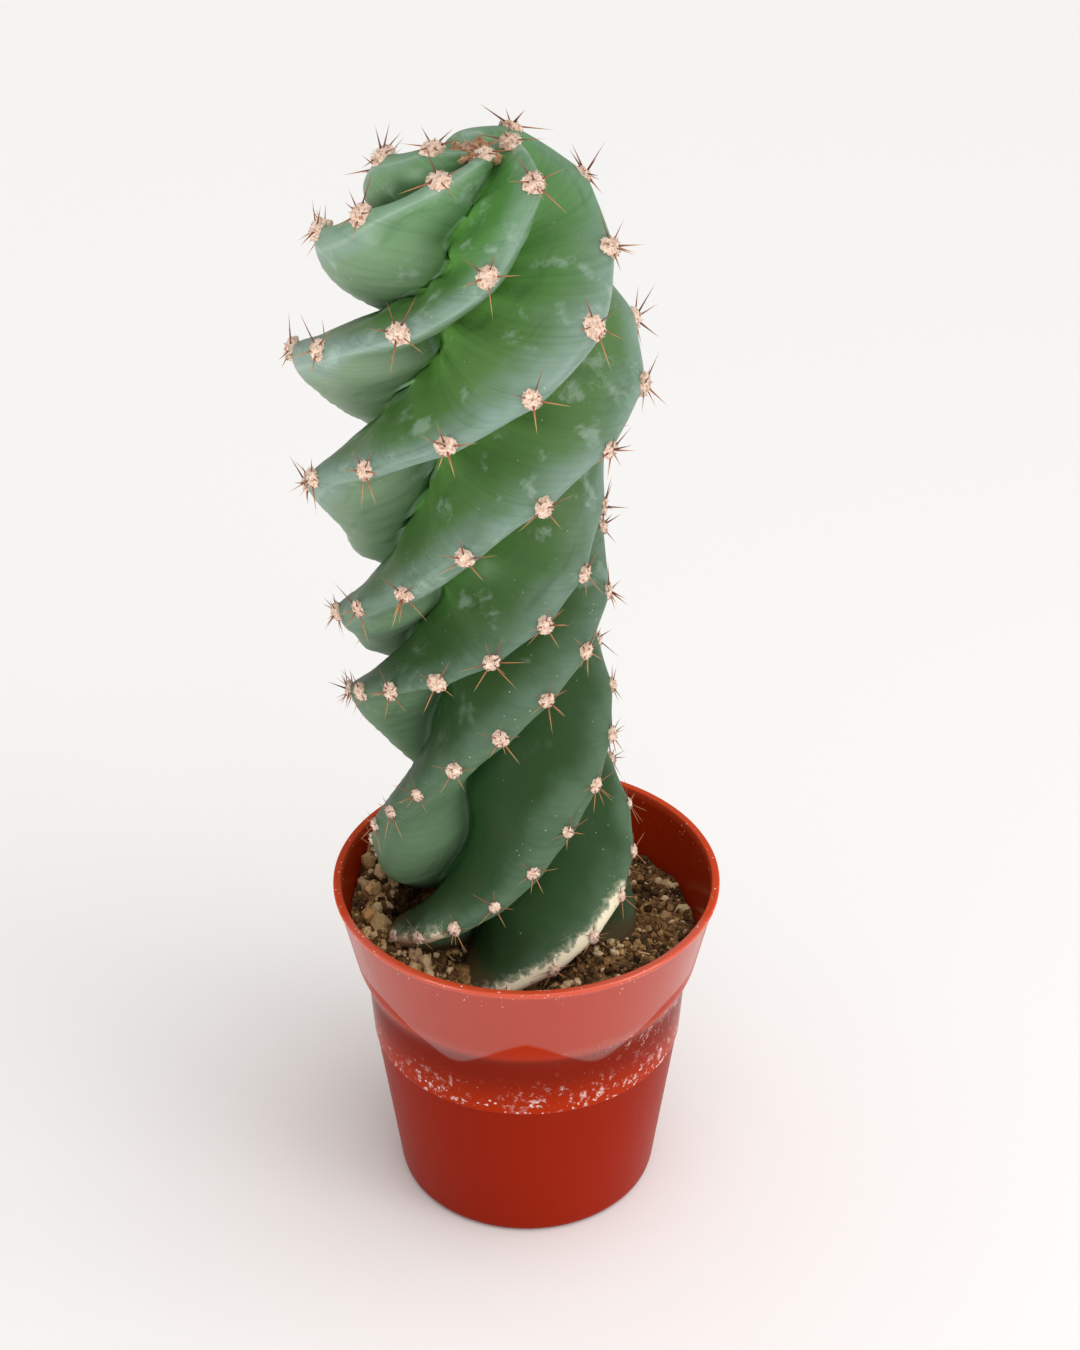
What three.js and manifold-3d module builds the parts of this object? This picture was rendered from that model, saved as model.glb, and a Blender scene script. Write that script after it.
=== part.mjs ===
// Potted spiral cactus: a four-ribbed twisted stem in a red nursery pot of soil.
// Millimetres, +Z up, with the origin at the centre of the pot's underside.
import * as THREE from 'three';
import { mergeVertices } from 'three/addons/utils/BufferGeometryUtils.js';
import Module from 'manifold-3d';

const wasm = await Module();
wasm.setup();

const DEGREE = Math.PI / 180;
const FULL_TURN = 2 * Math.PI;

// Clearance between pieces that touch on the real object.
const GAP = 0.3;

// The 12 cm nursery pot: a thin rim lip, a collar that steps in, and a tapered wall.
const POT = {
  height: 111.7,
  rimRadius: 60,
  lipHeight: 2.4,
  lipStep: 0.9,
  collarFootRadius: 53,
  collarFootHeight: 81,
  collarStepHeight: 1.6,
  wallTopRadius: 50.6,
  lineRadius: 48.6,
  lineHeight: 56,
  lineStep: 0.3,
  footRadius: 41.2,
  footRound: 3,
  wall: 1.5,
  floor: 2.4,
  segments: 56,
};
const DRAIN = { count: 8, radius: 4, ring: 27, sides: 12 };

// The soil is heaped up to the rim at the back left and against the stem at the front
// right, and has sunk along the wall on the right.
const SOIL = {
  level: 94.5,
  fall: 0.07,
  heaps: [
    { x: -46, y: 28, reach: 18, rise: 8 },
    { x: 27, y: -27, reach: 14, rise: 8 },
  ],
  lumps: 0.6,
  rings: 8,
  segments: 48,
};
// A hollow left open in the soil under a rib at the left.
const PIT = { x: -34, y: 2, z: 97, length: 13, width: 8, depth: 15, turn: 70 };

// Stem stations from the buried root end to the crown. Each gives the reach and height of
// the rib crests, the same for the valleys between them, the sideways and forward place of
// the axis, and how far the spiral has turned there, in degrees.
const STATIONS = [
  { crest: [12, 66], valley: [8, 66], axis: [-3, 0], turn: -120 },
  { crest: [30, 78], valley: [18, 80], axis: [-3, 0], turn: -120 },
  { crest: [38, 92], valley: [20, 98], axis: [-4, 0], turn: -97 },
  { crest: [39, 106], valley: [19, 116], axis: [-6, 0], turn: -54 },
  { crest: [39, 124], valley: [18, 134], axis: [-7, 0], turn: -10 },
  { crest: [38, 150], valley: [17, 160], axis: [-10, 0], turn: 42 },
  { crest: [38, 178], valley: [17, 188], axis: [-13, -1], turn: 102 },
  { crest: [38, 206], valley: [17, 216], axis: [-16, -1], turn: 178 },
  { crest: [40, 234], valley: [17, 243], axis: [-17, -2], turn: 247 },
  { crest: [43, 262], valley: [17, 270], axis: [-18, -2], turn: 308 },
  { crest: [47, 286], valley: [17, 292], axis: [-17, -2], turn: 364 },
  { crest: [47, 308], valley: [16, 308], axis: [-16, -2], turn: 422 },
  { crest: [37, 328], valley: [14, 321], axis: [-15, -2], turn: 482 },
  { crest: [27, 341], valley: [11, 331], axis: [-13, -2], turn: 520 },
  { crest: [16, 348], valley: [8, 339], axis: [-13, -2], turn: 555 },
  { crest: [7, 348.5], valley: [4, 343.5], axis: [-12, -2], turn: 585 },
  { crest: [0, 345], valley: [0, 345], axis: [-12, -2], turn: 600 },
];
// Angles of the four ribs from the first one, at even steps of height up the stem.
const RIBS = {
  lowHeight: 90,
  step: 64,
  angles: [[0, 0, 0, 0, 0], [90, 78, 81, 76, 67], [182, 173, 152, 163, 137], [277, 263, 256, 267, 239]],
};
const RIB_COUNT = RIBS.angles.length;
// Where single ribs wander from the even spiral: at a height, over a span of it, a rib has
// turned this many degrees further and stands out by this many millimetres more.
const BENDS = [
  { rib: 0, height: 100, span: 30, turn: -12, push: 2 },
  { rib: 0, height: 181, span: 11, turn: 26, push: 5 },
  { rib: 0, height: 258, span: 18, turn: -11, push: 2 },
  { rib: 0, height: 300, span: 25, turn: 12, push: 4 },
  { rib: 1, height: 190, span: 16, turn: -8, push: 0 },
  { rib: 1, height: 230, span: 24, turn: 16, push: -3 },
  { rib: 1, height: 303, span: 16, turn: -10, push: 0 },
  { rib: 2, height: 96, span: 30, turn: 30, push: 1 },
  { rib: 2, height: 200, span: 30, turn: -10, push: 2 },
  { rib: 2, height: 265, span: 9, turn: 7, push: -4 },
  { rib: 2, height: 318, span: 20, turn: 28, push: -10 },
  { rib: 3, height: 215, span: 11, turn: 26, push: 5 },
  { rib: 3, height: 262, span: 16, turn: -5, push: 2 },
  { rib: 3, height: 322, span: 16, turn: -12, push: -1 },
];
// Section of a rib. Below the crest, which is a blunt edge with the felt pads on it, the
// side swells and then turns in to a narrow fold, and above the crest it falls back at once.
const RIB_SECTION = { swell: 0.6, fall: 2.1 };
// Share of the way round to the next rib where the fold between them lies. It is largest
// for a rib on the side of the plant at this angle, and least on the far side.
const FOLD = { middle: 0.5, swing: 0.2, mostAt: 111, softness: 0.06 };
// The ways are the stem's columns: 0 on a crest, 0.5 in the fold, and 1 on the next crest.
const STEM = {
  ways: [0, 0.08, 0.19, 0.31, 0.42, 0.5, 0.62, 0.74, 0.87],
  ringStep: 5.5,
};
// The hole in the soil is this much wider than the stem, in mm, and its folds are shallower
// by this share of their depth.
const HOLE = { grow: 0.6, fill: 0.1 };
// A small part of the way from one rib to the next, to read which way a crest faces.
const CREST_EDGE = 0.02;

// Areoles are the felt pads on the crests, each with a bunch of spines.
const AREOLE = {
  soilClear: 4.5,
  radius: 2.5,
  thickness: 1.6,
  rim: 0.5,
  sunk: 2.4,
  spacingLow: 16,
  spacingHigh: 26,
  lowHeight: 190,
  highHeight: 250,
  crownHeight: 300,
  crownSpacing: 0.75,
  leastSpacing: 5,
  smallestReach: 9,
};
// Each rib's pads start this far along its crest from a station near the root, in mm, and
// lie this much further apart than the even spacing.
const PAD_ROWS = {
  startPlace: 1.5,
  first: [23.5, 34, 27, 33.5],
  spread: [0.96, 0.9, 1.05, 0.97],
};
const SPINE = { perAreole: 4, length: 8.5, rootWidth: 0.9, leanHigh: 62, leanLow: 78, potClear: 1.2 };

const STONES = [
  { x: -48, y: 7, size: [3.4, 3, 2.6], turn: 20 },
  { x: -49, y: -4, size: [2.8, 3.6, 2.6], turn: 10 },
  { x: -49, y: -13, size: [1.9, 2.5, 1.8], turn: 30 },
  { x: -27, y: -35, size: [2.4, 2, 1.6], turn: 0 },
  { x: -21, y: -40, size: [2, 2.4, 1.6], turn: 40 },
  { x: 44, y: 4, size: [2.8, 2.2, 1.8], turn: 80 },
];

const LOOKS = {
  pot: { color: 0x9c2a14, roughness: 0.4 },
  soil: { color: 0x4b3626, roughness: 0.95 },
  cactus: { color: 0x4f7f57, roughness: 0.55 },
  stone: { color: 0xc89a62, roughness: 0.9 },
};

// Repeatable random numbers from 0 to 1.
function seededRandom(seed) {
  let state = seed;
  return () => {
    state = (state * 1664525 + 1013904223) % 4294967296;
    return state / 4294967296;
  };
}

// Closed solid from rings of points, listed from the foot up, with the first and the last
// ring a single point. Rings run anticlockwise seen from above.
function closedRings(rings) {
  const corners = [];
  for (let row = 0; row + 1 < rings.length; row += 1) {
    const low = rings[row];
    const high = rings[row + 1];
    const count = Math.max(low.length, high.length);
    for (let i = 0; i < count; i += 1) {
      const next = (i + 1) % count;
      if (low.length > 1) corners.push(low[i], low[next], high[next % high.length]);
      if (high.length > 1) corners.push(low[i % low.length], high[next], high[i]);
    }
  }
  return new THREE.BufferGeometry().setFromPoints(corners);
}

// Geometry to a solid that can be joined and cut.
function toSolid(geometry) {
  const bare = geometry.clone();
  for (const name of Object.keys(bare.attributes)) {
    if (name !== 'position') bare.deleteAttribute(name);
  }
  const merged = mergeVertices(bare, 1e-4);
  return new wasm.Manifold(new wasm.Mesh({
    numProp: 3,
    vertProperties: merged.attributes.position.array,
    triVerts: new Uint32Array(merged.index.array),
  }));
}

// A solid back to geometry.
function toGeometry(solid) {
  const mesh = solid.getMesh();
  const geometry = new THREE.BufferGeometry();
  geometry.setAttribute('position', new THREE.BufferAttribute(mesh.vertProperties, 3));
  geometry.setIndex(new THREE.BufferAttribute(mesh.triVerts, 1));
  geometry.computeVertexNormals();
  return geometry;
}

// Value between the entries of a list, on a smooth curve through them.
function smoothThrough(values, place) {
  const last = values.length - 1;
  const held = Math.min(last, Math.max(0, place));
  const i = Math.min(last - 1, Math.floor(held));
  const before = values[Math.max(0, i - 1)];
  const here = values[i];
  const next = values[i + 1];
  const after = values[Math.min(last, i + 2)];
  const t = held - i;
  const bend = 2 * before - 5 * here + 4 * next - after;
  const twist = 3 * (here - next) + after - before;
  return here + 0.5 * t * (next - before + t * (bend + t * twist));
}

// The pot's wall profile as height and outer radius, from the foot to the rim.
const COLLAR_STEP_FOOT = POT.collarFootHeight - POT.collarStepHeight;
const LIP_FOOT = POT.height - POT.lipHeight;
const POT_PROFILE = [
  [0, POT.footRadius],
  [POT.lineHeight, POT.lineRadius],
  [COLLAR_STEP_FOOT, POT.wallTopRadius],
  [POT.collarFootHeight, POT.collarFootRadius],
  [POT.height, POT.rimRadius - POT.lipStep],
];

// Inner radius of the pot's wall at a height.
function potInnerRadius(z) {
  const above = Math.max(1, POT_PROFILE.findIndex(([height]) => height >= z));
  const [z0, r0] = POT_PROFILE[above - 1];
  const [z1, r1] = POT_PROFILE[above];
  return r0 + ((r1 - r0) * (z - z0)) / (z1 - z0) - POT.wall;
}

// Pot: one lathe profile, from the floor's underside round the rim to its inside.
function potGeometry() {
  const outline = [[0, 0]];
  const roundSteps = 3;
  for (let i = 0; i <= roundSteps; i += 1) {
    const angle = (i / roundSteps) * 90 * DEGREE;
    outline.push([
      POT.footRadius - POT.footRound * (1 - Math.sin(angle)),
      POT.footRound * (1 - Math.cos(angle)),
    ]);
  }
  const { rimRadius, lipStep, height } = POT;
  outline.push(
    [POT.lineRadius, POT.lineHeight],
    [POT.lineRadius + POT.lineStep, POT.lineHeight + POT.lineStep],
    [POT.wallTopRadius, COLLAR_STEP_FOOT],
    [POT.collarFootRadius, POT.collarFootHeight],
    [rimRadius - lipStep, LIP_FOOT],
    [rimRadius, LIP_FOOT + lipStep / 2],
    [rimRadius, height - lipStep / 2],
    [rimRadius - lipStep / 2, height],
  );
  for (const z of [height, POT.collarFootHeight, COLLAR_STEP_FOOT, POT.lineHeight, POT.floor]) {
    outline.push([potInnerRadius(z), z]);
  }
  outline.push([0, POT.floor]);
  const points = outline.map(([radius, z]) => new THREE.Vector2(radius, z));
  const lathe = new THREE.LatheGeometry(points, POT.segments).rotateX(90 * DEGREE);
  let solid = toSolid(lathe);
  const drill = new THREE.CylinderGeometry(DRAIN.radius, DRAIN.radius, 3 * POT.floor, DRAIN.sides);
  drill.rotateX(90 * DEGREE);
  for (let i = 0; i < DRAIN.count; i += 1) {
    const angle = (i / DRAIN.count) * FULL_TURN;
    const hole = drill.clone();
    hole.translate(DRAIN.ring * Math.cos(angle), DRAIN.ring * Math.sin(angle), 0);
    solid = solid.subtract(toSolid(hole));
  }
  return toGeometry(solid);
}

// Height of the soil's surface.
function soilHeight(x, y) {
  const { level, fall, heaps, lumps } = SOIL;
  let mound = 0;
  for (const heap of heaps) {
    const away = Math.hypot(x - heap.x, y - heap.y) / heap.reach;
    mound += heap.rise * Math.exp(-away * away);
  }
  const waves = Math.sin(0.31 * x + 0.17 * y) + Math.sin(0.23 * y - 0.37 * x + 1);
  return level - fall * x + mound + lumps * waves;
}

// Angle and push of a rib where its crest is at a height. Rib 4 is rib 0, a full turn on.
function ribAt(rib, height) {
  const index = rib % RIB_COUNT;
  const level = (height - RIBS.lowHeight) / RIBS.step;
  let angle = smoothThrough(RIBS.angles[index], level) + (rib === index ? 0 : 360);
  let push = 0;
  for (const bend of BENDS.filter((entry) => entry.rib === index)) {
    const share = Math.exp(-(((height - bend.height) / bend.span) ** 2));
    angle += bend.turn * share;
    push += bend.push * share;
  }
  return { angle, push };
}

// Share of the way round to the next rib where the fold lies, for a crest at an angle.
function foldAt(crestAngle) {
  const facing = Math.cos((crestAngle - FOLD.mostAt) * DEGREE);
  return FOLD.middle + (FOLD.swing * facing) / Math.sqrt(facing * facing + FOLD.softness);
}

// How far out the surface lies on the way from a crest through the fold to the next crest:
// 1 on the crests and 0 in the fold.
function ridgeAt(way) {
  const power = way < 0.5 ? RIB_SECTION.swell : RIB_SECTION.fall;
  return Math.abs(Math.cos(way * 180 * DEGREE)) ** power;
}

// Point of the stem's surface at a station, a rib, and a way round to the next rib, with
// its folds filled up to a share of their depth.
function stemPoint(place, rib, way, fill = 0) {
  const read = (pick) => smoothThrough(STATIONS.map(pick), place);
  const crestHeight = read((s) => s.crest[1]);
  const turn = read((s) => s.turn);
  const here = ribAt(rib, crestHeight);
  const next = ribAt(rib + 1, crestHeight);
  const fold = foldAt(here.angle + turn);
  const share = way < 0.5 ? 2 * way * fold : fold + (2 * way - 1) * (1 - fold);
  const angle = (here.angle + (next.angle - here.angle) * share + turn) * DEGREE;
  const ridge = fill + (1 - fill) * ridgeAt(way);
  const valley = read((s) => s.valley[0]);
  const floor = read((s) => s.valley[1]);
  const reach = read((s) => s.crest[0]) + here.push + (next.push - here.push) * share;
  const radius = Math.max(0, valley + (reach - valley) * ridge);
  return new THREE.Vector3(
    read((s) => s.axis[0]) + radius * Math.cos(angle),
    read((s) => s.axis[1]) + radius * Math.sin(angle),
    floor + (crestHeight - floor) * ridge,
  );
}

// A closed surface moved outwards by a distance, for the hole that the stem stands in.
function pushedOut(geometry, distance) {
  const grown = mergeVertices(geometry, 1e-4);
  grown.computeVertexNormals();
  const { position, normal } = grown.attributes;
  for (let i = 0; i < position.count; i += 1) {
    position.setXYZ(
      i,
      position.getX(i) + distance * normal.getX(i),
      position.getY(i) + distance * normal.getY(i),
      position.getZ(i) + distance * normal.getZ(i),
    );
  }
  return grown.toNonIndexed();
}

// Stem body: rings of points whose columns follow the ribs round the spiral.
function stemGeometry(fill = 0) {
  const last = STATIONS.length - 1;
  const columns = [];
  for (let rib = 0; rib < RIB_COUNT; rib += 1) {
    for (const way of STEM.ways) columns.push([rib, way]);
  }
  const rows = [];
  for (let station = 0; station < last; station += 1) {
    const [r0, z0] = STATIONS[station].crest;
    const [r1, z1] = STATIONS[station + 1].crest;
    const steps = Math.max(2, Math.round(Math.hypot(r1 - r0, z1 - z0) / STEM.ringStep));
    for (let i = 0; i < steps; i += 1) {
      const place = station + i / steps;
      rows.push(columns.map(([rib, way]) => stemPoint(place, rib, way, fill)));
    }
  }
  const poleAt = (station) => {
    const { axis, crest } = STATIONS[station];
    return [new THREE.Vector3(axis[0], axis[1], crest[1])];
  };
  return closedRings([poleAt(0), ...rows, poleAt(last)]);
}

// Distance from one felt pad to the next along a crest at a height and reach.
function padSpacing(rib, height, reach) {
  const { spacingLow, spacingHigh, lowHeight, highHeight, crownHeight } = AREOLE;
  const share = Math.min(1, Math.max(0, (height - lowHeight) / (highHeight - lowHeight)));
  const grown = (spacingLow + (spacingHigh - spacingLow) * share) * PAD_ROWS.spread[rib];
  if (height < crownHeight) return grown;
  return Math.min(grown, Math.max(AREOLE.leastSpacing, AREOLE.crownSpacing * reach));
}

// Crest places along one rib where its felt pads lie, with the way outwards there.
function areolePlaces(rib) {
  const last = STATIONS.length - 1;
  const step = 0.01;
  const places = [];
  let travelled = 0;
  let due = PAD_ROWS.first[rib];
  let before = stemPoint(PAD_ROWS.startPlace, rib, 0);
  for (let place = PAD_ROWS.startPlace; place < last; place += step) {
    const point = stemPoint(place, rib, 0);
    travelled += point.distanceTo(before);
    before = point;
    if (travelled < due) continue;
    const reach = smoothThrough(STATIONS.map((s) => s.crest[0]), place);
    due = travelled + padSpacing(rib, point.z, reach);
    if (point.z < soilHeight(point.x, point.y) + AREOLE.soilClear) continue;
    if (reach < AREOLE.smallestReach && place > last / 2) break;
    const along = stemPoint(place + step, rib, 0).sub(point).normalize();
    const left = stemPoint(place, (rib + RIB_COUNT - 1) % RIB_COUNT, 1 - CREST_EDGE);
    const across = stemPoint(place, rib, CREST_EDGE).sub(left).normalize();
    places.push({ point, along, outwards: across.cross(along).normalize() });
  }
  return places;
}

// Whether a spine's tip stays clear of the pot's wall and of the soil.
function clearOfPot(tip) {
  const reach = Math.hypot(tip.x, tip.y);
  if (tip.z > POT.height + SPINE.potClear) return true;
  return reach < potInnerRadius(tip.z) - SPINE.potClear
    && tip.z > soilHeight(tip.x, tip.y) + SPINE.potClear;
}

// Felt pad with its bunch of spines, as one star: a low cone with needles out of its rim.
function areoleSolid({ point, along, outwards }, random) {
  const side = new THREE.Vector3().crossVectors(outwards, along).normalize();
  const at = (distance, around, rise) => point.clone()
    .addScaledVector(along, distance * Math.cos(around))
    .addScaledVector(side, distance * Math.sin(around))
    .addScaledVector(outwards, rise);
  const top = at(0, 0, AREOLE.thickness);
  const bottom = at(0, 0, -AREOLE.sunk);
  const start = random() * FULL_TURN;
  const spines = [];
  for (let i = 0; i < SPINE.perAreole; i += 1) {
    const around = start + ((i + 0.25 * random()) / SPINE.perAreole) * FULL_TURN;
    const lean = (i % 2 ? SPINE.leanLow : SPINE.leanHigh) * DEGREE;
    const length = SPINE.length * (0.85 + 0.3 * random());
    const halfWidth = SPINE.rootWidth / 2 / AREOLE.radius;
    const tip = at(length * Math.sin(lean), around, length * Math.cos(lean));
    spines.push({
      before: at(AREOLE.radius, around - halfWidth, AREOLE.rim),
      after: at(AREOLE.radius, around + halfWidth, AREOLE.rim),
      tip: clearOfPot(tip) ? tip : at(1.1 * AREOLE.radius, around, AREOLE.rim),
    });
  }
  const corners = [];
  spines.forEach(({ before, after, tip }, i) => {
    const next = spines[(i + 1) % spines.length].before;
    corners.push(top, before, tip, top, tip, after, before, after, tip, top, after, next);
    corners.push(bottom, after, before, bottom, next, after);
  });
  return toSolid(new THREE.BufferGeometry().setFromPoints(corners));
}

// Cactus: the stem with every areole and spine grown on it.
function cactusGeometry() {
  const random = seededRandom(11);
  let solid = toSolid(stemGeometry());
  for (let rib = 0; rib < RIB_COUNT; rib += 1) {
    for (const place of areolePlaces(rib)) solid = solid.add(areoleSolid(place, random));
  }
  return toGeometry(solid);
}

// Stone: a rounded lump with a few flats, half sunk in the soil.
function stoneGeometry(stone, index, grow = 0) {
  const random = seededRandom(31 + index);
  const geometry = mergeVertices(new THREE.IcosahedronGeometry(1, 1).deleteAttribute('normal')
    .deleteAttribute('uv'), 1e-4);
  const position = geometry.attributes.position;
  for (let i = 0; i < position.count; i += 1) {
    const lump = 0.88 + 0.2 * random();
    position.setXYZ(i, ...[0, 1, 2].map((axis) => {
      const size = stone.size[axis] * lump + grow;
      return position.getComponent(i, axis) * size;
    }));
  }
  geometry.rotateZ(stone.turn * DEGREE);
  const sunk = 0.3 * stone.size[2];
  geometry.translate(stone.x, stone.y, soilHeight(stone.x, stone.y) + sunk);
  return geometry;
}

// Soil: fills the pot to its surface, with a hole for the stem, a pit and stone beds.
function soilGeometry() {
  const base = POT.floor + GAP;
  const ringAt = (radiusAt, heightAt) => {
    const ring = [];
    for (let i = 0; i < SOIL.segments; i += 1) {
      const angle = (i / SOIL.segments) * FULL_TURN;
      const radius = radiusAt(angle);
      const x = radius * Math.cos(angle);
      const y = radius * Math.sin(angle);
      ring.push(new THREE.Vector3(x, y, heightAt(x, y)));
    }
    return ring;
  };
  const rings = [[new THREE.Vector3(0, 0, base)]];
  for (const z of [base, POT.lineHeight, COLLAR_STEP_FOOT, POT.collarFootHeight]) {
    rings.push(ringAt(() => potInnerRadius(z) - GAP, () => z));
  }
  const edgeRadius = (angle) => {
    let radius = potInnerRadius(SOIL.level);
    for (let i = 0; i < 3; i += 1) {
      const height = soilHeight(radius * Math.cos(angle), radius * Math.sin(angle));
      radius = potInnerRadius(height) - GAP;
    }
    return radius;
  };
  for (let ring = SOIL.rings; ring > 0; ring -= 1) {
    rings.push(ringAt((angle) => (edgeRadius(angle) * ring) / SOIL.rings, soilHeight));
  }
  rings.push([new THREE.Vector3(0, 0, soilHeight(0, 0))]);
  const hole = toSolid(pushedOut(stemGeometry(HOLE.fill), HOLE.grow));
  let solid = toSolid(closedRings(rings)).subtract(hole);
  const pit = new THREE.SphereGeometry(1, 12, 8);
  pit.scale(PIT.length, PIT.width, PIT.depth);
  pit.rotateZ(PIT.turn * DEGREE);
  pit.translate(PIT.x, PIT.y, PIT.z);
  solid = solid.subtract(toSolid(pit));
  STONES.forEach((stone, index) => {
    solid = solid.subtract(toSolid(stoneGeometry(stone, index, GAP)));
  });
  return toGeometry(solid);
}

const part = new THREE.Group();

function addPiece(name, geometry, look) {
  const mesh = new THREE.Mesh(geometry, new THREE.MeshStandardMaterial({ ...look, metalness: 0 }));
  mesh.name = name;
  part.add(mesh);
}

addPiece('pot', potGeometry(), LOOKS.pot);
addPiece('soil', soilGeometry(), LOOKS.soil);
addPiece('cactus', cactusGeometry(), LOOKS.cactus);
STONES.forEach((stone, index) => {
  addPiece(`stone_${index + 1}`, stoneGeometry(stone, index), LOOKS.stone);
});

export default part;
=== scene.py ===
# %% [markdown]
# # A spiral cactus in its nursery pot
# The plant is a column with four deep ribs that wind up it like the strands of a rope.
# Felt pads with spines sit along each rib's edge. It stands in peat soil in a thin red pot.
# The solid model is loaded first, as a frame that nothing here may move. Each piece below
# then stands for one of its nodes, at the same place and size, with a finer surface.

# %% Load the frame
import math
import random

import bmesh
import bpy
import numpy as np
from mathutils import Matrix, Vector, noise


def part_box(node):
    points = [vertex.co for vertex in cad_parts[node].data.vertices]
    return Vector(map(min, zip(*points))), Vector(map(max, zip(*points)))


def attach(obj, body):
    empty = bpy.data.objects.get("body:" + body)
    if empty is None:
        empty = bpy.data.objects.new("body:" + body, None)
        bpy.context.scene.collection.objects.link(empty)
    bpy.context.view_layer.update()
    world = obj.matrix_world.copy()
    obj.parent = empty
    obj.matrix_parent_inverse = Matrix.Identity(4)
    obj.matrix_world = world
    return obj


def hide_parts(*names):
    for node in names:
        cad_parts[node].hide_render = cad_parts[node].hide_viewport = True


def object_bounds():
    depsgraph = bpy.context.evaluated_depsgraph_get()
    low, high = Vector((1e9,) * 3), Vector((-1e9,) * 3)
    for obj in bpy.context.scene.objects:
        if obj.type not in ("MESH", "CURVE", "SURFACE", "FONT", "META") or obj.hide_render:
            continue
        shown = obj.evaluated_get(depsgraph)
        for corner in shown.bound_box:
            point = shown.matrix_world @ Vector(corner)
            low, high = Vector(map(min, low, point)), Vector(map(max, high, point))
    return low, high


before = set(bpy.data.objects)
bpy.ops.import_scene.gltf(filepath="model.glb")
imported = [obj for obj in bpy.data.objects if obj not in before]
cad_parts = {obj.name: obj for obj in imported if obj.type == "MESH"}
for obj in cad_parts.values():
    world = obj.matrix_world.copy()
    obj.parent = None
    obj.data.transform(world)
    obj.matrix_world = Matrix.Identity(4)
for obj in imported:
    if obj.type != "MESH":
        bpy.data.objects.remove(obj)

MM = 0.001
CAD_BOX = [list(corner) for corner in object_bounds()]
print("frame nodes:", ", ".join(sorted(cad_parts)))

# %% [markdown]
# The camera comes first, so that every later look is through the photograph's own view.
# Its place was worked out from the pot: the rim and the foot are circles of known size, and
# only one height and tilt make them the ellipses that the photograph shows.

# %% Camera
PHOTO = {"width": 1080, "height": 1350}
CAMERA = {"place": (4.2, -647.7, 585.3), "down": 31.77, "focal_pixels": 2574, "sensor": 36.0}


def make_camera():
    """A camera that takes the photograph's own view."""
    data = bpy.data.cameras.new("photo_camera")
    data.sensor_width = CAMERA["sensor"]
    data.lens = CAMERA["focal_pixels"] * CAMERA["sensor"] / PHOTO["height"]
    data.clip_start = 0.01
    camera = bpy.data.objects.new("photo_camera", data)
    camera.location = Vector(CAMERA["place"]) * MM
    camera.rotation_euler = (math.radians(90 - CAMERA["down"]), 0, 0)
    bpy.context.scene.collection.objects.link(camera)
    bpy.context.scene.camera = camera
    return camera


camera = make_camera()
print(f"camera lens {camera.data.lens:.1f} mm")

# %% [markdown]
# A few small tools carry the whole file. Colours are written as they look on a screen, and
# one function turns them to the linear values that the renderer adds up. One function puts
# a node in a tree with its settings and links. Three more make what the finishes share: a
# stripe, random blotches, and a colour laid over another. One function turns points and
# faces to a piece.

# %% Colours and nodes


def linear(hex_colour):
    """A screen colour such as #8a5a2b as linear red, green, blue and alpha."""
    channels = [int(hex_colour[i:i + 2], 16) / 255 for i in (1, 3, 5)]
    return [c / 12.92 if c <= 0.04045 else ((c + 0.055) / 1.055) ** 2.4 for c in channels] + [1.0]


def put(tree, kind, inputs=None, stops=None, **settings):
    """Adds a node. A short kind, such as Math, is a shader node's.

    Inputs are values, screen colours, sockets to link from, or nodes to link from by their
    first output in use.
    """
    node = tree.nodes.new(kind if "Node" in kind else "ShaderNode" + kind)
    for name, value in settings.items():
        setattr(node, name, value)
    for name, value in (inputs or {}).items():
        if isinstance(value, bpy.types.Node):
            value = next(socket for socket in value.outputs if socket.enabled)
        if isinstance(value, bpy.types.NodeSocket):
            tree.links.new(value, node.inputs[name])
        else:
            is_colour = isinstance(value, str) and value.startswith("#")
            node.inputs[name].default_value = linear(value) if is_colour else value
    for index, (position, value) in enumerate(stops or []):
        marks = node.color_ramp.elements
        mark = marks[index] if index < 2 else marks.new(position)
        mark.position = position
        mark.color = linear(value) if isinstance(value, str) else (value, value, value, 1.0)
    return node


# %% What the finishes share
# The setting of a Map Range node that eases in and out.
SMOOTH = {"interpolation_type": "SMOOTHSTEP"}


def new_material(name):
    """An empty node material and its tree."""
    material = bpy.data.materials.new(name)
    material.use_nodes = True
    material.node_tree.nodes.clear()
    return material, material.node_tree


def stripe(tree, value, low, full, fading, gone):
    """A mask that eases in while a value goes from low to full, and out from fading to gone."""
    rise = put(tree, "MapRange", {0: value, 1: low, 2: full}, **SMOOTH)
    fall = put(tree, "MapRange", {0: value, 1: gone, 2: fading}, **SMOOTH)
    return put(tree, "Math", {0: rise, 1: fall}, operation="MULTIPLY")


def blotches(tree, place, size, low, high, detail=3.0, rough=0.5):
    """A mask of soft random patches about a size across, cut between two levels."""
    cloud = put(tree, "TexNoise",
                {"Vector": place, "Scale": 1 / size, "Detail": detail, "Roughness": rough})
    return put(tree, "MapRange", {0: cloud, 1: low, 2: high}, **SMOOTH)


def laid_over(tree, colour, over, *masks):
    """A colour laid over another one, as far as the product of some masks says."""
    share = masks[0]
    for mask in masks[1:]:
        share = put(tree, "Math", {0: share, 1: mask}, operation="MULTIPLY")
    return put(tree, "Mix", {0: share, 6: colour, 7: over}, data_type="RGBA")


# %% Meshes


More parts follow.
